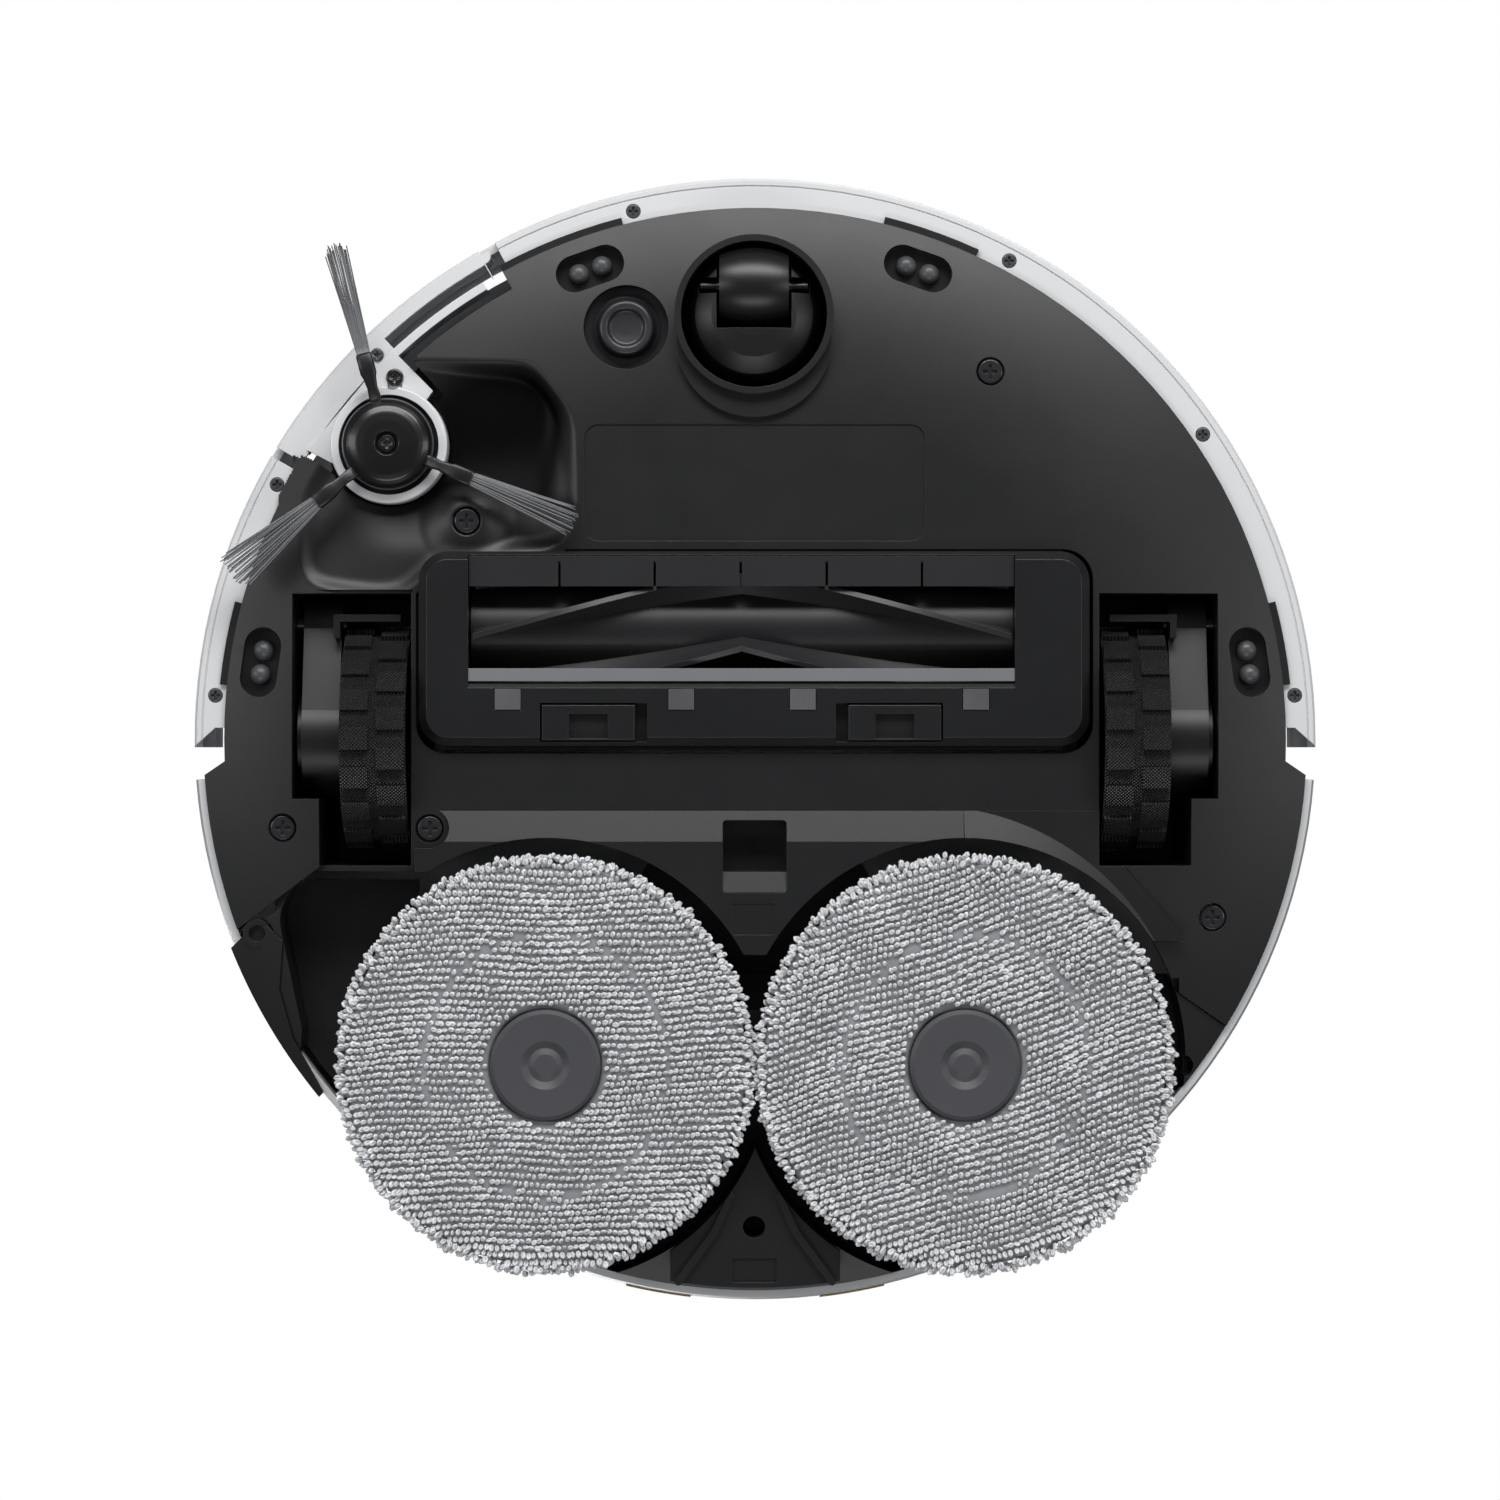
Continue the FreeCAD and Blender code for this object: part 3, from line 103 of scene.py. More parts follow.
FLOOR_HALF, FLOOR_DROP = 6, 0.0004
floor_signs = ((-1, -1), (1, -1), (1, 1), (-1, 1))
floor_corners = [(FLOOR_HALF * x, FLOOR_HALF * y, -FLOOR_DROP) for x, y in floor_signs]
floor_mesh = bpy.data.meshes.new("floor")
floor_mesh.from_pydata(floor_corners, [], [(0, 1, 2, 3)])
floor = bpy.data.objects.new("floor", floor_mesh)
scene.collection.objects.link(floor)
floor_paint = bpy.data.materials.new("floor_paint")
floor_paint.use_nodes = True
tree = floor_paint.node_tree
tree.nodes.clear()
side = wire(tree, "ShaderNodeNewGeometry")
pale = wire(tree, "ShaderNodeBsdfDiffuse", {"Color": (0.78, 0.78, 0.79, 1)})
clear = wire(tree, "ShaderNodeBsdfTransparent")
by_side = {0: side.outputs["Backfacing"], 1: pale.outputs[0], 2: clear.outputs[0]}
either = wire(tree, "ShaderNodeMixShader", by_side)
wire(tree, "ShaderNodeOutputMaterial", {"Surface": either.outputs[0]})
floor_mesh.materials.append(floor_paint)
floor.visible_shadow = False
floor.visible_diffuse = False
floor.visible_glossy = False
floor.visible_transmission = False


# The belly: one black ABS pan with a ramped rear panel and the mop module's base screwed to it.
# All three come from the tool with a fine spark-eroded grain, and their edges have worn slightly round.
PAN_BLACK = (0.0052, 0.0054, 0.006)
TEXTURE_DEPTH = 0.00006


def moulded(name, colour, roughness, grain=0.0004, relief=0.3, mottle=0.04, rounding=0.00025, **gloss):
    """A moulded plastic on object coordinates.

    Colour and roughness each follow a slow cloud of noise about their own value. A fine noise, one cell per
    grain length, is the tool's texture in the bump, and a rounding radius softens edges. Gloss sets sockets.
    """
    material = bpy.data.materials.new(name)
    material.use_nodes = True
    tree = material.node_tree
    tree.nodes.clear()
    place = wire(tree, "ShaderNodeTexCoord").outputs["Object"]
    cloud = wire(tree, "ShaderNodeTexNoise", {"Vector": place, "Scale": 55.0, "Detail": 4.0})
    low = tuple(c * (1 - mottle) for c in colour) + (1,)
    high = tuple(min(1, c * (1 + mottle)) for c in colour) + (1,)
    tint = wire(tree, "ShaderNodeMix", {0: cloud.outputs[0], 6: low, 7: high}, data_type="RGBA")
    gloss_range = {0: cloud.outputs[0], 1: 0.3, 2: 0.7, 3: roughness * 0.96, 4: min(1, roughness * 1.04)}
    shine = wire(tree, "ShaderNodeMapRange", gloss_range)
    texture = wire(tree, "ShaderNodeTexNoise", {"Vector": place, "Scale": 1 / grain, "Detail": 2.0})
    edge = wire(tree, "ShaderNodeBevel", {"Radius": rounding}, samples=4)
    height = {"Height": texture.outputs[0], "Normal": edge.outputs[0]}
    bump = wire(tree, "ShaderNodeBump", {"Strength": relief, "Distance": TEXTURE_DEPTH, **height})
    sockets = {"Base Color": tint.outputs[2], "Roughness": shine.outputs[0], "Normal": bump.outputs[0]}
    sockets.update({key.replace("_", " "): value for key, value in gloss.items()})
    skin = wire(tree, "ShaderNodeBsdfPrincipled", sockets)
    wire(tree, "ShaderNodeOutputMaterial", {"Surface": skin.outputs[0]})
    return material


def dress(material, *names):
    """Gives CAD nodes their finish."""
    for name in names:
        slots = cad_nodes[name].data.materials
        slots.clear()
        slots.append(material)


pan_plastic = moulded("pan_plastic", PAN_BLACK, 0.42)
dress(pan_plastic, "bottom_pan", "rear_panel", "mop_module_base")
dress(moulded("pan_screw_black", (0.016, 0.016, 0.018), 0.3, relief=0.1, Coat_Weight=0.4), "chassis_screws")


# The dip round the side brush: a soft-edged bowl pressed into the pan so that the tufts sweep clear of it.
# It is part of the same moulding, so it has the pan's grain, and its colour and specular level darken with
# its depth: a painted shade.
DIP_CORNERS = np.array((
    (-140.0, -46.5), (-119.0, -43.0), (-106.5, -43.0), (-95.0, -54.5), (-60.0, -56.8), (-53.5, -64.0),
    (-54.0, -98.0), (-68.0, -116.0), (-112.0, -117.5), (-141.0, -88.0)))
ARM_OPENING = np.array(((-102.9, -61.8), (-154.5, -82.2), (-117.1, -130.1), (-93.7, -104.0)))
ARM_CORNER = np.array(((-146.5, -83.0), (-140.4, -87.6), (-137.6, -86.9), (-130.8, -83.0), (-126.0, -77.0),
                       (-122.0, -68.0), (-147.0, -71.0)))
ARM_PIVOT = (-83.9, -148.6)
ARM_REACH = (-28.2, 58.7)
ARM_SWING = 0.3
BRUSH_CENTRE = (-112.1, -89.9)
PAN_FLOOR, PAN_FLAT_RADIUS, PAN_ARC_RADIUS = 11.0, 104.0, 206.0
DIP_SCREW = (-88.2, -66.6)
DIP_LIMIT = 19.9
LOBE_DEPTH, SCOOP_DEPTH = 2.0, 8.5
RING_ROOM = 18.5
MM = 0.001


def cells(rows, columns, wrap_rows=False, wrap_columns=False, flip=False):
    """Four-cornered faces of a grid numbered row by row; a wrapped side joins its last line to its first."""
    i = np.arange(rows if wrap_rows else rows - 1)
    j = np.arange(columns if wrap_columns else columns - 1)
    i, j = (a.ravel() for a in np.meshgrid(i, j, indexing="ij"))
    down, across = (i + 1) % rows, (j + 1) % columns
    corners = [i * columns + j, down * columns + j, down * columns + across, i * columns + across]
    return np.stack(corners[::-1] if flip else corners, axis=1)


def fit_piece(name, points, faces, material, body, slot):
    """A smooth mesh in row-frame millimetres, turned to metres and riding on a body of the robot."""
    mesh = bpy.data.meshes.new(name)
    mesh.from_pydata((np.asarray(points) * MM).tolist(), [], list(map(list, faces)))
    mesh.shade_smooth()
    mesh.materials.append(material)
    piece = bpy.data.objects.new(name, mesh)
    scene.collection.objects.link(piece)
    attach(piece, body)
    return piece


def belly(x, y):
    """Height of the pan's underside: flat out to a radius of 104 mm, then a circular arc of radius 206."""
    out = np.clip(np.hypot(x, y) - PAN_FLAT_RADIUS, 0, 70)
    return PAN_FLOOR + PAN_ARC_RADIUS - np.sqrt(PAN_ARC_RADIUS**2 - out**2)


def inside_distance(x, y, corners):
    """Distance to a polygon's nearest edge, positive inside, where a ray crosses an odd number of edges."""
    start, end = corners, np.roll(corners, -1, axis=0)
    px, py = x[..., None] - start[:, 0], y[..., None] - start[:, 1]
    ex, ey = (end - start).T
    along = np.clip((px * ex + py * ey) / (ex**2 + ey**2), 0, 1)
    near = np.hypot(px - along * ex, py - along * ey).min(-1)
    spans = (start[:, 1] > y[..., None]) != (end[:, 1] > y[..., None])
    crossed = spans & (px < py * ex / np.where(ey == 0, 1e-9, ey))
    return np.where(crossed.sum(-1) % 2 == 1, near, -near)


def ease(t):
    """Smooth step from 0 to 1."""
    t = np.clip(t, 0, 1)
    return t * t * (3 - 2 * t)


def softened(mask, cells_wide):
    """A mask after three passes of a running mean along both axes, which is close to a bell-shaped blur."""
    kernel = np.ones(cells_wide) / cells_wide
    for _ in range(3):
        mask = np.apply_along_axis(np.convolve, 0, mask, kernel, "same")
        mask = np.apply_along_axis(np.convolve, 1, mask, kernel, "same")
    return mask


def brush_dip():
    """Height = the pan's own skin + a depth that follows the outline's blurred mask.

    It is 2 mm deep in the left lobe. A scoop drops fast from the front, climbs slowly to the rear and fast at
    the inner side, and eases into a depth limit. A recess holds the pan's screw, the skin is flush beside the
    arm, and the arm's ring has room to swing out. Returns points, faces and each point's depth.
    """
    x, y = np.meshgrid(np.arange(-149, -47.4, 0.4), np.arange(-124, -37.4, 0.4))
    inside = inside_distance(x, y, DIP_CORNERS)
    field = ease((softened((inside > 0).astype(float), 21) - 0.52) / 0.42)
    slope = np.minimum(ease((y + 120) / 19), np.clip((-57 - y) / 37, 0, 1))
    scoop = SCOOP_DEPTH * softened(slope, 11) * ease((-54 - x) / 14) * ease((x + 128) / 20)
    screw = np.hypot(x - DIP_SCREW[0], y - DIP_SCREW[1])
    from_axis = np.hypot(x, y)
    depth = field * (LOBE_DEPTH + scoop) * ease((159 - from_axis) / 6) * ease((screw - 3.6) / 12)
    skin = belly(x, y) + 0.04
    limited = DIP_LIMIT - 0.9 * np.logaddexp(0, (DIP_LIMIT - skin - depth) / 0.9)
    deep = ease(depth / LOBE_DEPTH)
    z = skin + (limited - skin) * deep + depth * (1 - deep)
    z = np.minimum(z, 20.4) + 2.0 * ease((4.5 - screw) / 0.5)
    away = np.full(x.shape, 99.0)
    for swung in np.linspace(0, ARM_SWING, 9):
        out_x = ARM_PIVOT[0] + ARM_REACH[0] * math.cos(swung) - ARM_REACH[1] * math.sin(swung)
        out_y = ARM_PIVOT[1] + ARM_REACH[0] * math.sin(swung) + ARM_REACH[1] * math.cos(swung)
        away = np.minimum(away, np.hypot(x - out_x, y - out_y))
    turn = np.degrees(np.arctan2(y, x)) % 360
    under_arm = (turn > 211.7) & (turn < 241.6) & (from_axis > np.where(turn < 227.7, 142.3, 156.8))
    corner = (inside_distance(x, y, ARM_CORNER) > 0) & (from_axis < 164.8)
    opening = (inside_distance(x, y, ARM_OPENING) > -0.6) & (from_axis < 156.8) & (turn > 211.7)
    kept = ((inside > -1.3) | opening) & ~under_arm | corner
    kept &= (away > np.where(corner, 16.0, RING_ROOM)) & (screw > 3.5)
    kept &= (y < -45.4) | (x > -104.6) | (x < -142.4)
    faces = cells(*x.shape)
    faces = faces[kept.ravel()[faces].all(axis=1)]
    used, faces = np.unique(faces, return_inverse=True)
    points = np.stack([x.ravel(), y.ravel(), z.ravel()], axis=1)[used]
    return points, faces.reshape(-1, 4), (z - skin).ravel()[used]


def painted_depth_shade(material, level, shallow, deep, darkest):
    """Painted shade: multiplies a plastic's colour and its specular level by a factor that falls as the level
    rises.
    """
    tree = material.node_tree
    skin = next(n for n in tree.nodes if n.type == "BSDF_PRINCIPLED")
    shade = wire(tree, "ShaderNodeMapRange", {0: level, 1: shallow, 2: deep, 3: 1.0, 4: darkest},
                 interpolation_type="SMOOTHSTEP")
    colour = skin.inputs["Base Color"].links[0].from_socket
    darker = wire(tree, "ShaderNodeVectorMath", {0: colour, 1: shade.outputs[0]}, operation="MULTIPLY")
    tree.links.new(darker.outputs[0], skin.inputs["Base Color"])
    specular = wire(tree, "ShaderNodeMath", {0: shade.outputs[0], 1: 0.5}, operation="MULTIPLY")
    tree.links.new(specular.outputs[0], skin.inputs["Specular IOR Level"])


# Painted shade: the dip's colour and specular level fall from full at 2.2 mm deep to 16 % at 6 mm.
dip_plastic_painted_shade = moulded("dip_plastic_painted_shade", PAN_BLACK, 0.42)
dip_depth = wire(dip_plastic_painted_shade.node_tree, "ShaderNodeAttribute", attribute_name="depth")
painted_depth_shade(dip_plastic_painted_shade, dip_depth.outputs["Fac"], 2.2, 6.0, 0.16)
dip_points, dip_faces, dip_depths = brush_dip()
dip = fit_piece("brush_dip", dip_points, dip_faces, dip_plastic_painted_shade, "root", "black_plastic")
dip.data.attributes.new("depth", "FLOAT", "POINT").data.foreach_set("value", dip_depths.astype(np.float32))



# The white shells: bumper, rear shell, deck, front lid, turret cap, buttons and the side brush's swing arm.
# Injection-moulded ABS with a satin gloss; the two buttons and the cap are the same resin.
shell_look = {"grain": 0.0009, "relief": 0.06, "mottle": 0.015, "Coat_Weight": 0.25}
shell_white = moulded("shell_white", (0.64, 0.645, 0.655), 0.32, **shell_look)
dress(shell_white, "front_bumper", "rear_shell", "top_cover", "lid", "lidar_cap", "power_button",
      "home_button", "side_brush_arm")
window_gloss = moulded("window_gloss", (0.008, 0.008, 0.01), 0.07, relief=0.02, Coat_Weight=0.6)
dress(window_gloss, "bumper_window", "lidar_window")
screw_grey = moulded("screw_grey", (0.05, 0.051, 0.055), 0.35, relief=0.1, Coat_Weight=0.3)
dress(screw_grey, "bumper_screws")


# The side brush: a domed hub with its screw, three rubber-sleeved arms, and a tuft of nylon in each.
# The sleeves are moulded round the hub's arms, and the filaments are crimped in their box ends and fan out.
hub_black = moulded("hub_black", (0.0045, 0.0045, 0.005), 0.3, relief=0.05, Coat_Weight=0.15)
sleeve_rubber = moulded("sleeve_rubber", (0.008, 0.008, 0.009), 0.36, relief=0.15)
dress(pan_plastic, "side_brush_housing")
pin_black = moulded("pin_black", (0.012, 0.012, 0.013), 0.3, relief=0.1)
dress(pin_black, "arm_pivot_pins")
TUFTS = ((22.9, 4.4), (139.9, 5.7), (255.4, 3.3))


def turned(centre, profile, height=None, sectors=72):
    """A surface spun round a vertical axis from (radius, height) points, with each span divided in four.

    The first point lies on the axis, where one fan of faces closes it. Height may add a relief by x, y.
    """
    profile = np.array(profile, float)
    fine = np.linspace(0, len(profile) - 1, 4 * (len(profile) - 1) + 1)
    radius = np.interp(fine, np.arange(len(profile)), profile[:, 0])
    level = np.interp(fine, np.arange(len(profile)), profile[:, 1])
    turn = np.linspace(0, 2 * math.pi, sectors, endpoint=False)
    x, y = radius[1:, None] * np.cos(turn), radius[1:, None] * np.sin(turn)
    z = np.broadcast_to(level[1:, None], x.shape)
    middle = level[0]
    if height is not None:
        z = z + height(x, y)
        middle = middle + height(np.zeros(1), np.zeros(1))[0]
    ring = np.stack([x + centre[0], y + centre[1], z], axis=2).reshape(-1, 3)
    points = np.concatenate([[(centre[0], centre[1], middle)], ring])
    faces = cells(len(radius) - 1, sectors, wrap_columns=True, flip=True) + 1
    i = np.arange(sectors)
    fan = np.stack([np.zeros(sectors, int), (i + 1) % sectors + 1, i + 1], axis=1)
    return points, faces.tolist() + fan.tolist()


def cross_slot(size):
    """The relief of a cross-head screw: two grooves at right angles, deepest in the middle."""
    def relief(x, y):
        groove = np.maximum(ease((0.2 * size - np.abs(x)) / 0.15), ease((0.2 * size - np.abs(y)) / 0.15))
        return 0.7 * groove * ease((0.72 * size - np.hypot(x, y)) / 0.3)
    return relief


def sleeve(angle):
    """Rounded boxes carried outwards: half width and half thickness are given at seven distances.

    Each section is a superellipse of power 4: its points are the signed square roots of a circle's cosine and
    sine.
    """
    out = np.array((12.2, 14.0, 17.5, 20.5, 22.0, 27.6, 28.2))
    half_width = np.array((1.7, 1.9, 1.6, 2.0, 2.5, 2.5, 2.1))
    half_thick = np.array((1.0, 1.3, 1.1, 1.1, 1.6, 1.6, 1.3))
    level = np.array((8.6, 7.6, 6.6, 6.2, 6.2, 6.2, 6.2))
    around = np.linspace(0, 2 * math.pi, 20, endpoint=False)
    across = np.sign(np.cos(around)) * np.sqrt(np.abs(np.cos(around)))
    up = np.sign(np.sin(around)) * np.sqrt(np.abs(np.sin(around)))
    side = half_width[:, None] * across
    z = level[:, None] + half_thick[:, None] * up
    a = math.radians(angle)
    x = BRUSH_CENTRE[0] + out[:, None] * math.cos(a) - side * math.sin(a)
    y = BRUSH_CENTRE[1] + out[:, None] * math.sin(a) + side * math.cos(a)
    faces = cells(7, 20, wrap_columns=True, flip=True).tolist()
    faces += [list(range(20)), list(range(139, 119, -1))]
    return np.stack([x, y, z], axis=2).reshape(-1, 3), faces


def tufts(per_tuft=30):
    """Tubes of six sides, one for each filament.

    Across its tuft a filament starts at its share of the sleeve's width and ends at the same share of the
    fan's width. It bows sideways as the square of the way along, and it thins towards its tip.
    """
    rng = np.random.default_rng(7)
    t = np.linspace(0, 1, 9)
    share = np.tile(np.linspace(-1, 1, per_tuft), 3) + rng.normal(0, 0.05, 3 * per_tuft)
    angle = np.radians(np.repeat([tuft[0] for tuft in TUFTS], per_tuft))
    fan = np.repeat([tuft[1] for tuft in TUFTS], per_tuft)
    reach = 63.0 - 1.6 * share**2 - rng.uniform(0, 2.6, len(share))
    level = rng.uniform(-0.7, 0.7, len(share))
    along = 26 + (reach[:, None] - 26) * t
    width = 1.7 + (fan[:, None] - 1.7) * t
    spread = width * share[:, None] + rng.normal(0, 0.35, len(share))[:, None] * t**2
    x = BRUSH_CENTRE[0] + along * np.cos(angle)[:, None] - spread * np.sin(angle)[:, None]
    y = BRUSH_CENTRE[1] + along * np.sin(angle)[:, None] + spread * np.cos(angle)[:, None]
    z = 5.9 - 1.5 * t + level[:, None] * (0.5 + 0.5 * t)
    line = np.stack([x, y, z], axis=2)
    run = np.gradient(line, axis=1)
    run /= np.linalg.norm(run, axis=2, keepdims=True)
    side = np.cross(run, (0, 0, 1.0))
    side /= np.linalg.norm(side, axis=2, keepdims=True)
    up = np.cross(side, run)
    around = np.radians(np.arange(0, 360, 60))
    radius = (0.27 * (1 - 0.35 * t))[None, :, None, None]
    ring = np.cos(around)[:, None] * side[:, :, None] + np.sin(around)[:, None] * up[:, :, None]
    points = (line[:, :, None] + radius * ring).reshape(-1, 3)
    tube = cells(9, 6, wrap_columns=True, flip=True)
    ends = np.array([(0, 1, 2, 3), (0, 3, 4, 5), (51, 50, 49, 48), (53, 52, 51, 48)])
    faces = np.concatenate([tube, ends])[None] + 54 * np.arange(len(share))[:, None, None]
    return points, faces.reshape(-1, 4)


HUB_SCREW_RADIUS = 2.2
dome = ((0, 6.0), (1.2, 6.0), (2.6, 6.1), (2.75, 6.9), (3.25, 6.9), (3.4, 5.2), (3.8, 4.85), (4.4, 4.9))
dome += ((7.0, 5.0), (9.5, 5.3), (11.3, 5.9), (12.6, 6.8), (13.5, 7.9), (14.0, 9.2), (14.1, 10.6))
dome += ((14.1, 13.6), (9.0, 13.6))
hub_surface = turned(BRUSH_CENTRE, dome, cross_slot(HUB_SCREW_RADIUS))
hub = fit_piece("brush_hub", *hub_surface, hub_black, "side_brush", "black_gloss")
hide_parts("side_brush_hub")
for number, (angle, _) in enumerate(TUFTS):
    surface = sleeve(angle)
    arm_sleeve = fit_piece(f"brush_sleeve_{number}", *surface, sleeve_rubber, "side_brush", "soft_rubber")
    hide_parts("side_brush_sleeves")
nylon = moulded("nylon_grey", (0.15, 0.152, 0.16), 0.36, grain=0.0012, relief=0.1, mottle=0.4, rounding=0.0)
filaments = fit_piece("brush_filaments", *tufts(), nylon, "side_brush", "bristle")
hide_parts("side_brush_bristles")


# The arm's screws: a black one beside the brush's ring and a grey one on the band, both with cross heads.
# They hold the white arm to its gear case.
for name, place, size, top, finish in (("arm_screw_black", (-110.9, -111.2), 2.7, 20.0, hub_black),
                                       ("arm_screw_grey", (-116.4, -118.2), 2.1, 20.6, screw_grey)):
    head = ((0, top + 0.05), (0.8 * size, top), (0.95 * size, top + 0.2), (size, top + 0.6))
    head += ((size, top + 1.2),)
    fit_piece(name, *turned(place, head, cross_slot(0.8 * size), 48), finish, "brush_arm", "black_steel")


# The sensors in the pan: four pairs of drop sensors behind clear domes and one round carpet sensor.
# The domes are polished polycarbonate in a black tray, and the round one sits in its own dark bezel.
dome_clear = moulded("dome_dark", (0.06, 0.061, 0.065), 0.4, grain=0.002, relief=0.0, mottle=0.0)
DOME_OFFSET = 3.75
DROP_SENSORS = ((-50.7, -144.3, -19.3), (50.0, -144.3, 19.3), (-151.8, -23.5, 98.0), (151.8, -23.5, 82.0))
for number, (x, y, direction) in enumerate(DROP_SENSORS):
    a = math.radians(direction)
    for end in (-1, 1):
        place = (x + end * DOME_OFFSET * math.cos(a), y + end * DOME_OFFSET * math.sin(a))
        bulge = ((0, 18.7), (0.9, 18.8), (1.7, 19.15), (2.4, 19.7), (2.9, 20.4), (3.15, 21.3), (3.2, 22.4))
        side = "left" if end < 0 else "right"
        surface = turned(place, bulge, None, 36)
        glass = fit_piece(f"drop_dome_{number}_{side}", *surface, dome_clear, "root", "lens")
        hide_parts("cliff_sensor_lenses")
bezel_grey = moulded("bezel_grey", (0.02, 0.0203, 0.0225), 0.4, relief=0.15)
rings = ((0, 15.9), (2.5, 15.85), (5.1, 15.5), (5.55, 14.9), (5.75, 14.3), (6.3, 14.05), (7.4, 14.0))
rings += ((8.0, 14.3), (8.4, 15.1), (8.6, 17.0), (9.2, 18.6), (10.8, 19.3), (12.9, 19.4))
sensor = fit_piece("carpet_sensor", *turned((-39.5, -126.0), rings), bezel_grey, "root", "dark_grey_plastic")
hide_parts("round_sensor")


# The caster: a glossy acetal dome that swivels in the pan, and a crowned wheel on a steel pin.
# Both are polished by turning against the floor, so they shine more than the pan.
caster_gloss = moulded("caster_gloss", (0.0045, 0.0045, 0.005), 0.36, relief=0.12)
dress(caster_gloss, "caster_wheel", "caster_axle")
# Painted shade: the dome's colour and specular level fall from full at 5.8 mm high to 10 % at 10.8 mm, so it
# darkens towards its rim.
caster_painted_shade = moulded("caster_painted_shade", (0.004, 0.004, 0.0044), 0.4, relief=0.12)
caster_place = wire(caster_painted_shade.node_tree, "ShaderNodeTexCoord").outputs["Object"]
caster_axes = wire(caster_painted_shade.node_tree, "ShaderNodeSeparateXYZ", {0: caster_place})
painted_depth_shade(caster_painted_shade, caster_axes.outputs[2], 0.0058, 0.0108, 0.1)
dress(caster_painted_shade, "caster_dome")


# The main brush: a roller with soft vanes in a black housing, held by a clip-in guard with two slide latches.
# Six rubber flaps and a light scraper bar edge the mouth, and four felt pads rest on the floor behind it.
guard_plastic = moulded("guard_plastic", (0.0068, 0.007, 0.0077), 0.36)
dress(guard_plastic, "brush_guard", "guard_latch_left", "guard_latch_right")
inner_plastic = moulded("inner_plastic", (0.0028, 0.0028, 0.0031), 0.42)
dress(inner_plastic, "brush_housing", "brush_motor", "suction_fan", "battery_pack", "camera_module",
      "wheel_housing_left", "wheel_housing_right", "drive_arm_left", "drive_arm_right")
dress(moulded("roller_core_grey", (0.008, 0.008, 0.009), 0.4), "roller_core")
vane_rubber = moulded("vane_rubber", (0.012, 0.0122, 0.0135), 0.42, relief=0.4)
dress(vane_rubber, "roller_vanes", "flap_strip")
dress(moulded("scraper_grey", (0.17, 0.173, 0.185), 0.35), "scraper_bar")
felt_look = {"grain": 0.0005, "relief": 1.0, "mottle": 0.5, "Sheen_Weight": 0.3}
felt_grey = moulded("felt_grey", (0.075, 0.075, 0.08), 0.95, **felt_look)
dress(felt_grey, "felt_pads")


# The drive wheels: moulded hubs with a black rubber tyre in two rows of blocks, each on a sprung swing arm.
# The tyre's lugs are knurled between their bars, and the rubber is matt with a little dust in the pores.
dress(moulded("hub_grey", (0.012, 0.012, 0.0135), 0.4), "wheel_hub_left", "wheel_hub_right")
tyre_rubber = moulded("tyre_rubber", (0.006, 0.006, 0.0066), 0.42, grain=0.0009, relief=1.0, mottle=0.3)
KNURL_PITCH = 0.0011
KNURLS_ROUND = 32
AXLE_HEIGHT = 0.035


def knurl(material):
    """Adds a knurl over the texture: sines of the turn about the axle and of the width, multiplied."""
    tree = material.node_tree
    skin = next(n for n in tree.nodes if n.type == "BSDF_PRINCIPLED")
    fine = skin.inputs["Normal"].links[0].from_socket
    place = wire(tree, "ShaderNodeTexCoord").outputs["Object"]
    axes = wire(tree, "ShaderNodeSeparateXYZ", {0: place})
    rise = wire(tree, "ShaderNodeMath", {0: axes.outputs[2], 1: -AXLE_HEIGHT}, operation="ADD")
    turn = wire(tree, "ShaderNodeMath", {0: rise.outputs[0], 1: axes.outputs[1]}, operation="ARCTAN2")
    waves = []
    for way, rate in ((turn.outputs[0], KNURLS_ROUND), (axes.outputs[0], 1 / KNURL_PITCH)):
        phase = wire(tree, "ShaderNodeMath", {0: way, 1: 2 * math.pi * rate}, operation="MULTIPLY").outputs[0]
        waves.append(wire(tree, "ShaderNodeMath", {0: phase}, operation="SINE").outputs[0])
    bumps = wire(tree, "ShaderNodeMath", dict(enumerate(waves)), operation="MULTIPLY")
    height = {"Height": bumps.outputs[0], "Strength": 1.0, "Distance": 0.0003, "Normal": fine}
    tree.links.new(wire(tree, "ShaderNodeBump", height).outputs[0], skin.inputs["Normal"])


knurl(tyre_rubber)
dress(tyre_rubber, "tyre_left", "tyre_right")


# The mop drive: a lifting carriage with one fixed and one swinging spindle, and a side flap that opens.
# Each plate ends in a grey boss with a pressed dimple that the cloth's centre hole fits round.
dress(inner_plastic, "mop_carriage", "mop_arm")
dress(pan_plastic, "mop_side_flap")
boss_grey = moulded("boss_grey", (0.055, 0.0555, 0.062), 0.5, grain=0.0006, relief=0.25)
dress(boss_grey, "mop_plate_left", "mop_plate_right")


# The mop cloths: round terry pads of looped microfibre over foam, held to the plates by hook tape.
# The loops run in knitted rows, lean over to one side, and turn outwards into a fringe at the rim.
SEAM_RADIUS = 38.6
MOP_CENTRES = {"left": (-63.7, 99.1, 2.0, 11), "right": (63.7, 99.1, 19.0, 23)}


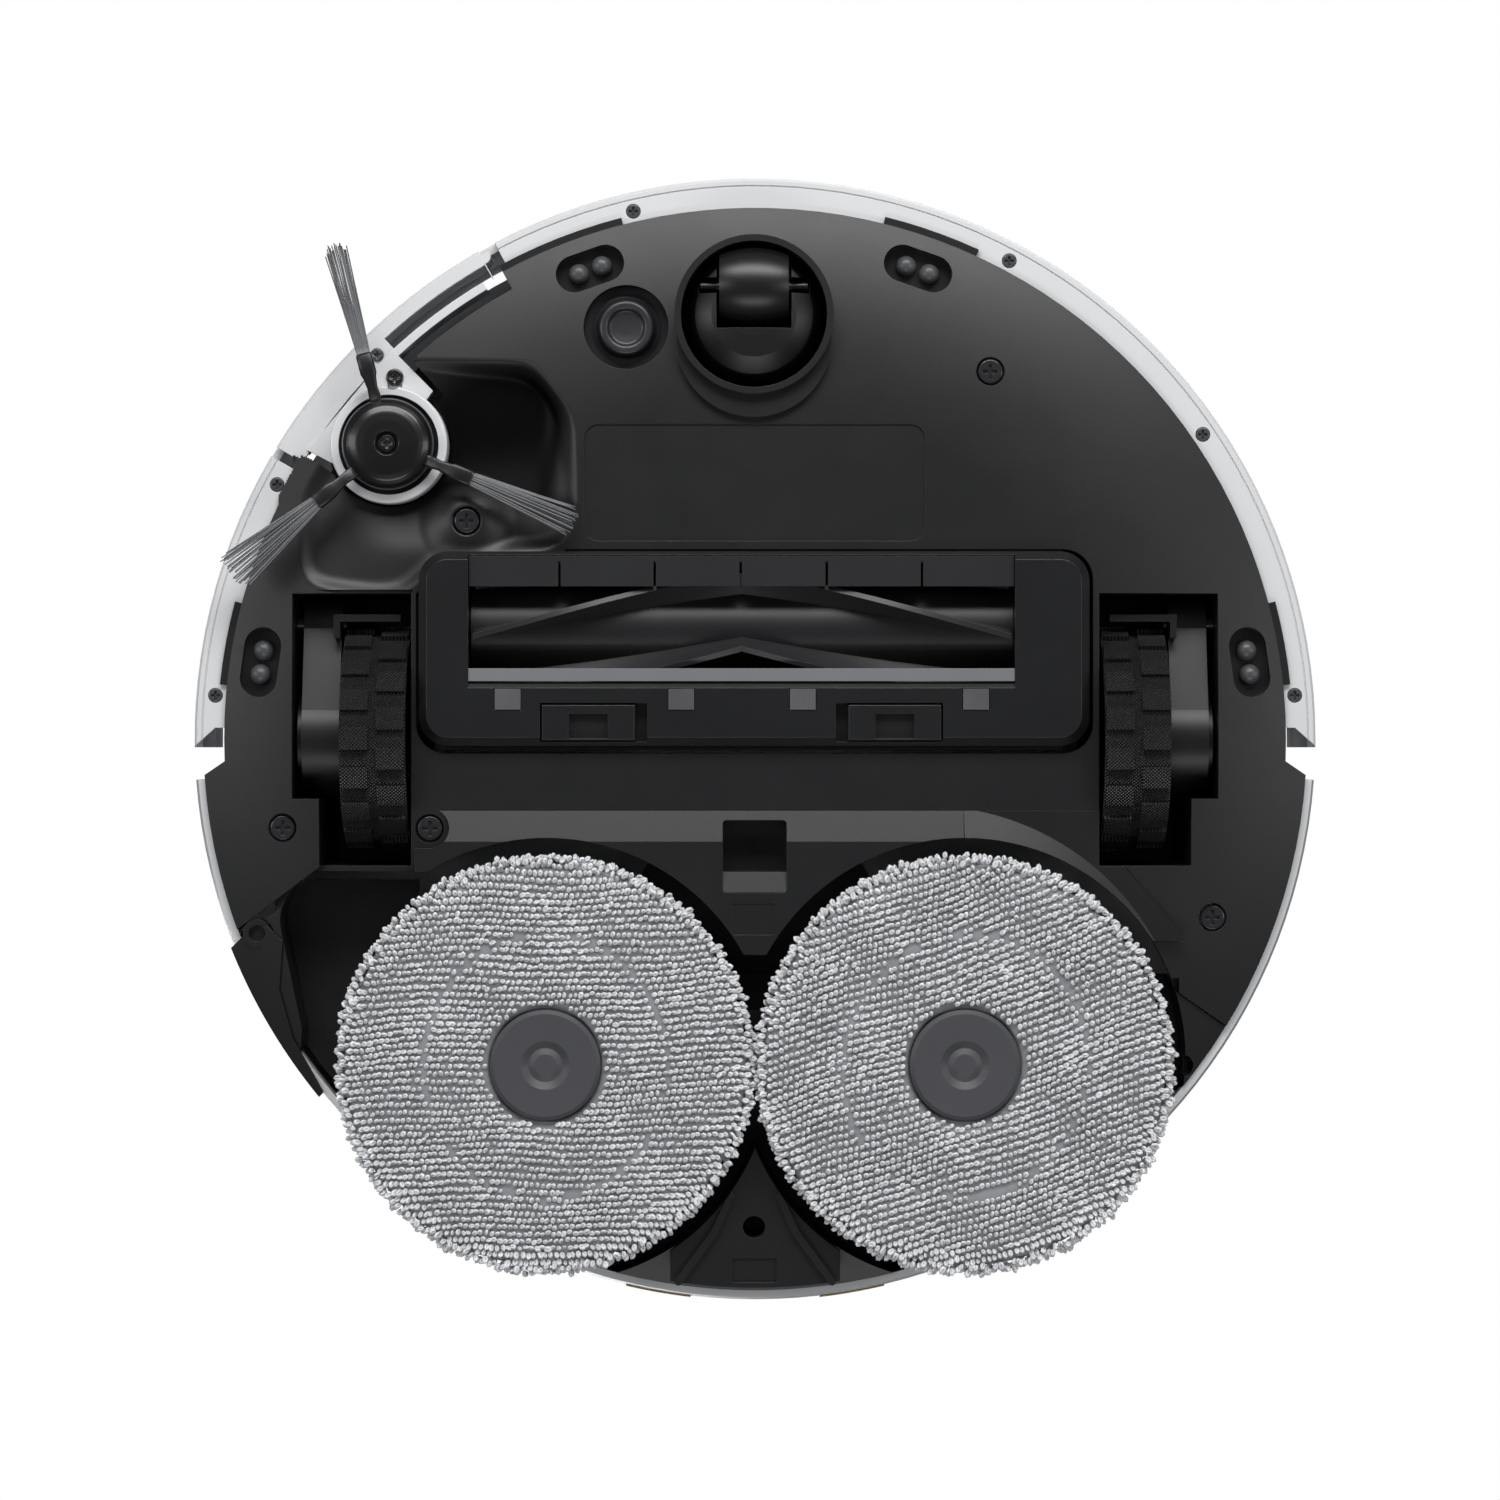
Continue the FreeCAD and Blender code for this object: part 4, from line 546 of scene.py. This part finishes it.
def terry(name, colour, shade):
    """Looped yarn with a painted shade: an attribute takes it from the dark shade colour at a loop's root to
    its full colour.
    """
    material = bpy.data.materials.new(name)
    material.use_nodes = True
    tree = material.node_tree
    tree.nodes.clear()
    place = wire(tree, "ShaderNodeTexCoord").outputs["Object"]
    painted_crest_light = wire(tree, "ShaderNodeAttribute", attribute_name="painted_crest_light")
    cloud = wire(tree, "ShaderNodeTexNoise", {"Vector": place, "Scale": 90.0, "Detail": 3.0})
    tone = wire(tree, "ShaderNodeMapRange", {0: cloud.outputs[0], 1: 0.3, 2: 0.7, 3: 0.92, 4: 1.06})
    yarn = wire(tree, "ShaderNodeMix", {0: painted_crest_light.outputs["Fac"], 6: shade, 7: colour}, data_type="RGBA")
    yarn = wire(tree, "ShaderNodeVectorMath", {0: yarn.outputs[2], 1: tone.outputs[0]}, operation="MULTIPLY")
    fibre = wire(tree, "ShaderNodeTexNoise", {"Vector": place, "Scale": 5000.0, "Detail": 2.0})
    bump = wire(tree, "ShaderNodeBump", {"Height": fibre.outputs[0], "Strength": 0.6, "Distance": 0.00012})
    sockets = {"Base Color": yarn.outputs[0], "Roughness": 0.8, "Normal": bump.outputs[0]}
    sockets.update({"Sheen Weight": 0.25, "Sheen Roughness": 0.4})
    skin = wire(tree, "ShaderNodeBsdfPrincipled", sockets)
    wire(tree, "ShaderNodeOutputMaterial", {"Surface": skin.outputs[0]})
    return material


def cloth_base():
    """Profile of radius against height, spun round: a flat foam ring, rounded at its rim and its hole.

    Returns points (96 x 26) and faces, closed round the ring's section.
    """
    profile = np.array((
        (17.6, 4.6), (18.2, 3.4), (20.0, 2.6), (23.0, 2.2), (27.0, 2.0), (32.0, 1.9), (37.0, 1.9),
        (42.0, 1.9), (47.0, 1.9), (52.0, 2.0), (56.0, 2.2), (59.0, 2.7), (61.0, 3.6), (62.0, 4.8),
        (62.0, 6.2), (61.2, 7.4), (59.6, 8.3), (57.0, 8.7), (50.0, 8.8), (42.0, 8.8), (34.0, 8.8),
        (26.0, 8.8), (21.0, 8.7), (18.6, 8.3), (17.6, 7.4), (17.4, 6.0)))
    turn = np.radians(np.arange(0, 360, 3.75))
    x = profile[:, 0] * np.cos(turn)[:, None]
    y = profile[:, 0] * np.sin(turn)[:, None]
    z = np.broadcast_to(profile[:, 1], x.shape)
    return np.stack([x, y, z], axis=2), cells(96, 26, wrap_rows=True, wrap_columns=True, flip=True)


def puffed(points, faces):
    """The base after the foam pushes its cloth out: a pressure simulation, its moves capped at 0.9 mm."""
    mesh = bpy.data.meshes.new("cloth_trial")
    mesh.from_pydata((points.reshape(-1, 3) * 0.01).tolist(), [], faces.tolist())
    trial = bpy.data.objects.new("cloth_trial", mesh)
    scene.collection.objects.link(trial)
    cloth = trial.modifiers.new("cloth", "CLOTH")
    cloth.settings.use_pressure = True
    cloth.settings.uniform_pressure_force = 1.5
    cloth.settings.effector_weights.gravity = 0
    cloth.settings.tension_stiffness = 25
    cloth.settings.quality = 4
    for step in range(1, 13):
        scene.frame_set(step)
    held = trial.evaluated_get(bpy.context.evaluated_depsgraph_get()).to_mesh()
    moved = np.empty(points.size)
    held.vertices.foreach_get("co", moved)
    moved = moved.reshape(points.shape) * 100 - points
    far = np.linalg.norm(moved, axis=2, keepdims=True)
    scene.frame_set(1)
    bpy.data.objects.remove(trial)
    return points + moved * np.minimum(1, 0.9 / np.maximum(far, 1e-6))


def loops(base, lean, seed):
    """Rings of yarn on the cloth: rows 2.2 mm apart hold a loop every 1.7 mm, swayed by slow sine waves.

    Each ring is an ellipse tilted out of the cloth and carries a four-sided tube. Near the rim it turns to
    point out, and a line of loops is left out along the seam.
    """
    rng = np.random.default_rng(seed)
    column, row = np.meshgrid(np.arange(-70, 70, 1.7), np.arange(-70, 70, 2.2))
    column = column + np.where(np.arange(len(row)) % 2, 0.85, 0)[:, None] + rng.normal(0, 0.16, row.shape)
    sway = 1.0 * np.sin(column / 19 + 0.6 * seed) + 0.35 * np.sin(column / 7.1 + row / 13 + seed)
    sway += 0.4 * np.sin(row / 5 + column / 24)
    row = row + sway + rng.normal(0, 0.17, row.shape)
    slant = -math.radians(lean)
    x = (column * math.cos(slant) - row * math.sin(slant)).ravel()
    y = (column * math.sin(slant) + row * math.cos(slant)).ravel()
    r = np.hypot(x, y)
    turn = np.arctan2(y, x)
    from_seam = r - SEAM_RADIUS - 1.5 * np.sin(2 * turn + seed)
    kept = (r > 18.4) & (r < 60.8) & (np.abs(from_seam) > 0.45)
    x, y, r, turn, from_seam = x[kept], y[kept], r[kept], turn[kept], from_seam[kept]
    patch = np.sin(x / 11 + seed) * np.sin(y / 8 + 2 * seed) + 0.5 * np.sin(x / 4.3 - y / 6.1)
    heading = -math.radians(36) + slant + 0.45 * patch + rng.normal(0, 0.26, len(x))
    outward = ease((r - 54) / 6)
    heading = np.arctan2(np.sin(heading) * (1 - outward) + np.sin(turn) * outward * 1.6,
                         np.cos(heading) * (1 - outward) + np.cos(turn) * outward * 1.6)
    lift = rng.normal(0.42, 0.12, len(x))
    size = (rng.normal(1.06, 0.1, len(x)) + 0.07 * patch) * (1 + 0.12 * outward)
    low = base[:, :14, :]
    radii = np.hypot(low[0, :, 0], low[0, :, 1])
    seam = np.exp(-(from_seam / 1.1) ** 2) * ease(0.5 + 0.8 * np.sin(turn * 3 + seed))
    z = np.interp(r, radii, low[:, :, 2].mean(axis=0)) - 0.72 + 0.75 * seam + 0.16 * patch
    rim = []
    for height, radius in ((2.7, 61.9), (4.3, 62.9), (6.1, 62.8), (7.6, 61.8)):
        angles = np.arange(0, 2 * math.pi, 1.95 / radius) + rng.uniform(0, 0.03)
        angles = angles + rng.normal(0, 0.006, len(angles))
        far = radius + rng.normal(0, 0.55, len(angles)).clip(-1, 1.3)
        rim.append(np.stack([angles, far, np.full(len(angles), height)], axis=1))
    rim = np.concatenate(rim)
    x = np.concatenate([x, rim[:, 1] * np.cos(rim[:, 0])])
    y = np.concatenate([y, rim[:, 1] * np.sin(rim[:, 0])])
    z = np.concatenate([z, rim[:, 2] + rng.normal(0, 0.25, len(rim))])
    heading = np.concatenate([heading, rim[:, 0] + rng.normal(0.25, 0.3, len(rim))])
    lift = np.concatenate([lift, rng.normal(0.1, 0.3, len(rim)) + 0.35 * (4.3 - rim[:, 2]) / 4])
    size = np.concatenate([size, rng.normal(1.25, 0.14, len(rim))])
    roll = rng.normal(0, 0.35, len(x))
    flat = np.stack([np.cos(heading), np.sin(heading), np.zeros(len(x))], axis=1)
    across = np.stack([-np.sin(heading), np.cos(heading), np.zeros(len(x))], axis=1)
    down = np.array((0.0, 0.0, -1.0))
    long = flat * np.cos(lift)[:, None] + down * np.sin(lift)[:, None]
    short = across * np.cos(roll)[:, None] + np.cross(long, across) * np.sin(roll)[:, None]
    normal = np.cross(long, short)
    t = np.radians(np.arange(7) * 360 / 7)
    around = np.radians(np.arange(0, 360, 90))
    cos_t, sin_t = np.cos(t)[None, :, None], np.sin(t)[None, :, None]
    size = size[:, None, None]
    line = size * (0.66 * cos_t * long[:, None] + 0.34 * sin_t * short[:, None])
    out = 0.34 * cos_t * long[:, None] + 0.66 * sin_t * short[:, None]
    out /= np.linalg.norm(out, axis=2, keepdims=True)
    tube = np.cos(around)[:, None] * out[:, :, None] + np.sin(around)[:, None] * normal[:, None, None]
    centre = np.stack([x, y, z], axis=1)
    points = centre[:, None, None] + line[:, :, None] + 0.4 * size[..., None] * tube
    ring = cells(7, 4, wrap_rows=True, wrap_columns=True)
    faces = ring[None] + 28 * np.arange(len(x))[:, None, None]
    # Painted shade: full colour at a loop's lowest part, falling to the shade colour as the loop rises to its
    # root, times a random tone.
    painted_crest_light = (0.5 - (points[..., 2] - centre[:, None, None, 2]) / 1.7).clip(0, 1)
    tone = rng.uniform(0.78, 1.0, len(x))[:, None, None]
    return points.reshape(-1, 3), faces.reshape(-1, 4), (painted_crest_light * tone).ravel()


# The second colour is a painted shade: the loops' roots go towards it, and the foam base between the loops
# shows only it.
yarn_grey = terry("yarn_grey", (0.92, 0.925, 0.945, 1), (0.26, 0.263, 0.275, 1))
foam_base, foam_faces = cloth_base()
foam_base = puffed(foam_base, foam_faces)
foam_base[..., 2] = foam_base[..., 2].clip(1.7, 8.9)
for hand, (mop_x, mop_y, lean, seed) in MOP_CENTRES.items():
    loop_points, loop_faces, painted_crest_light = loops(foam_base, lean, seed)
    points = np.concatenate([foam_base.reshape(-1, 3), loop_points]) + (mop_x, mop_y, 0)
    faces = np.concatenate([foam_faces, loop_faces + foam_base.size // 3])
    cloth = fit_piece("mop_cloth_" + hand, points, faces, yarn_grey, "mop_" + hand, "terry")
    # The foam base gets zero, so it shows the painted shade colour all over.
    shade = cloth.data.attributes.new("painted_crest_light", "FLOAT", "POINT")
    shade.data.foreach_set("value", np.concatenate([np.zeros(foam_base.size // 3), painted_crest_light]).astype(np.float32))
    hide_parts("mop_pad_" + hand)


# The turret: a dark base with a smoked ring window, in which the ranging head turns under the white cap.
# The head itself is black so that it doesn't glint through the window.
dress(moulded("turret_grey", (0.03, 0.031, 0.034), 0.35), "lidar_base")
dress(inner_plastic, "lidar_spinner")


# The inside: bin with its pleated filter, battery, board, water tank and the charging contacts.
# Tank and bin are translucent grey polypropylene, and the contacts are plated brass.
dress(moulded("tank_smoke", (0.35, 0.37, 0.4), 0.3, relief=0.05), "dust_bin", "water_tank")
dress(moulded("filter_paper", (0.8, 0.8, 0.77), 0.9, grain=0.0003, relief=0.8), "bin_filter")
dress(moulded("board_green", (0.02, 0.15, 0.07), 0.4), "main_board")
dress(moulded("contact_brass", (0.75, 0.6, 0.33), 0.25, relief=0.05, Metallic=1.0), "charging_contacts")
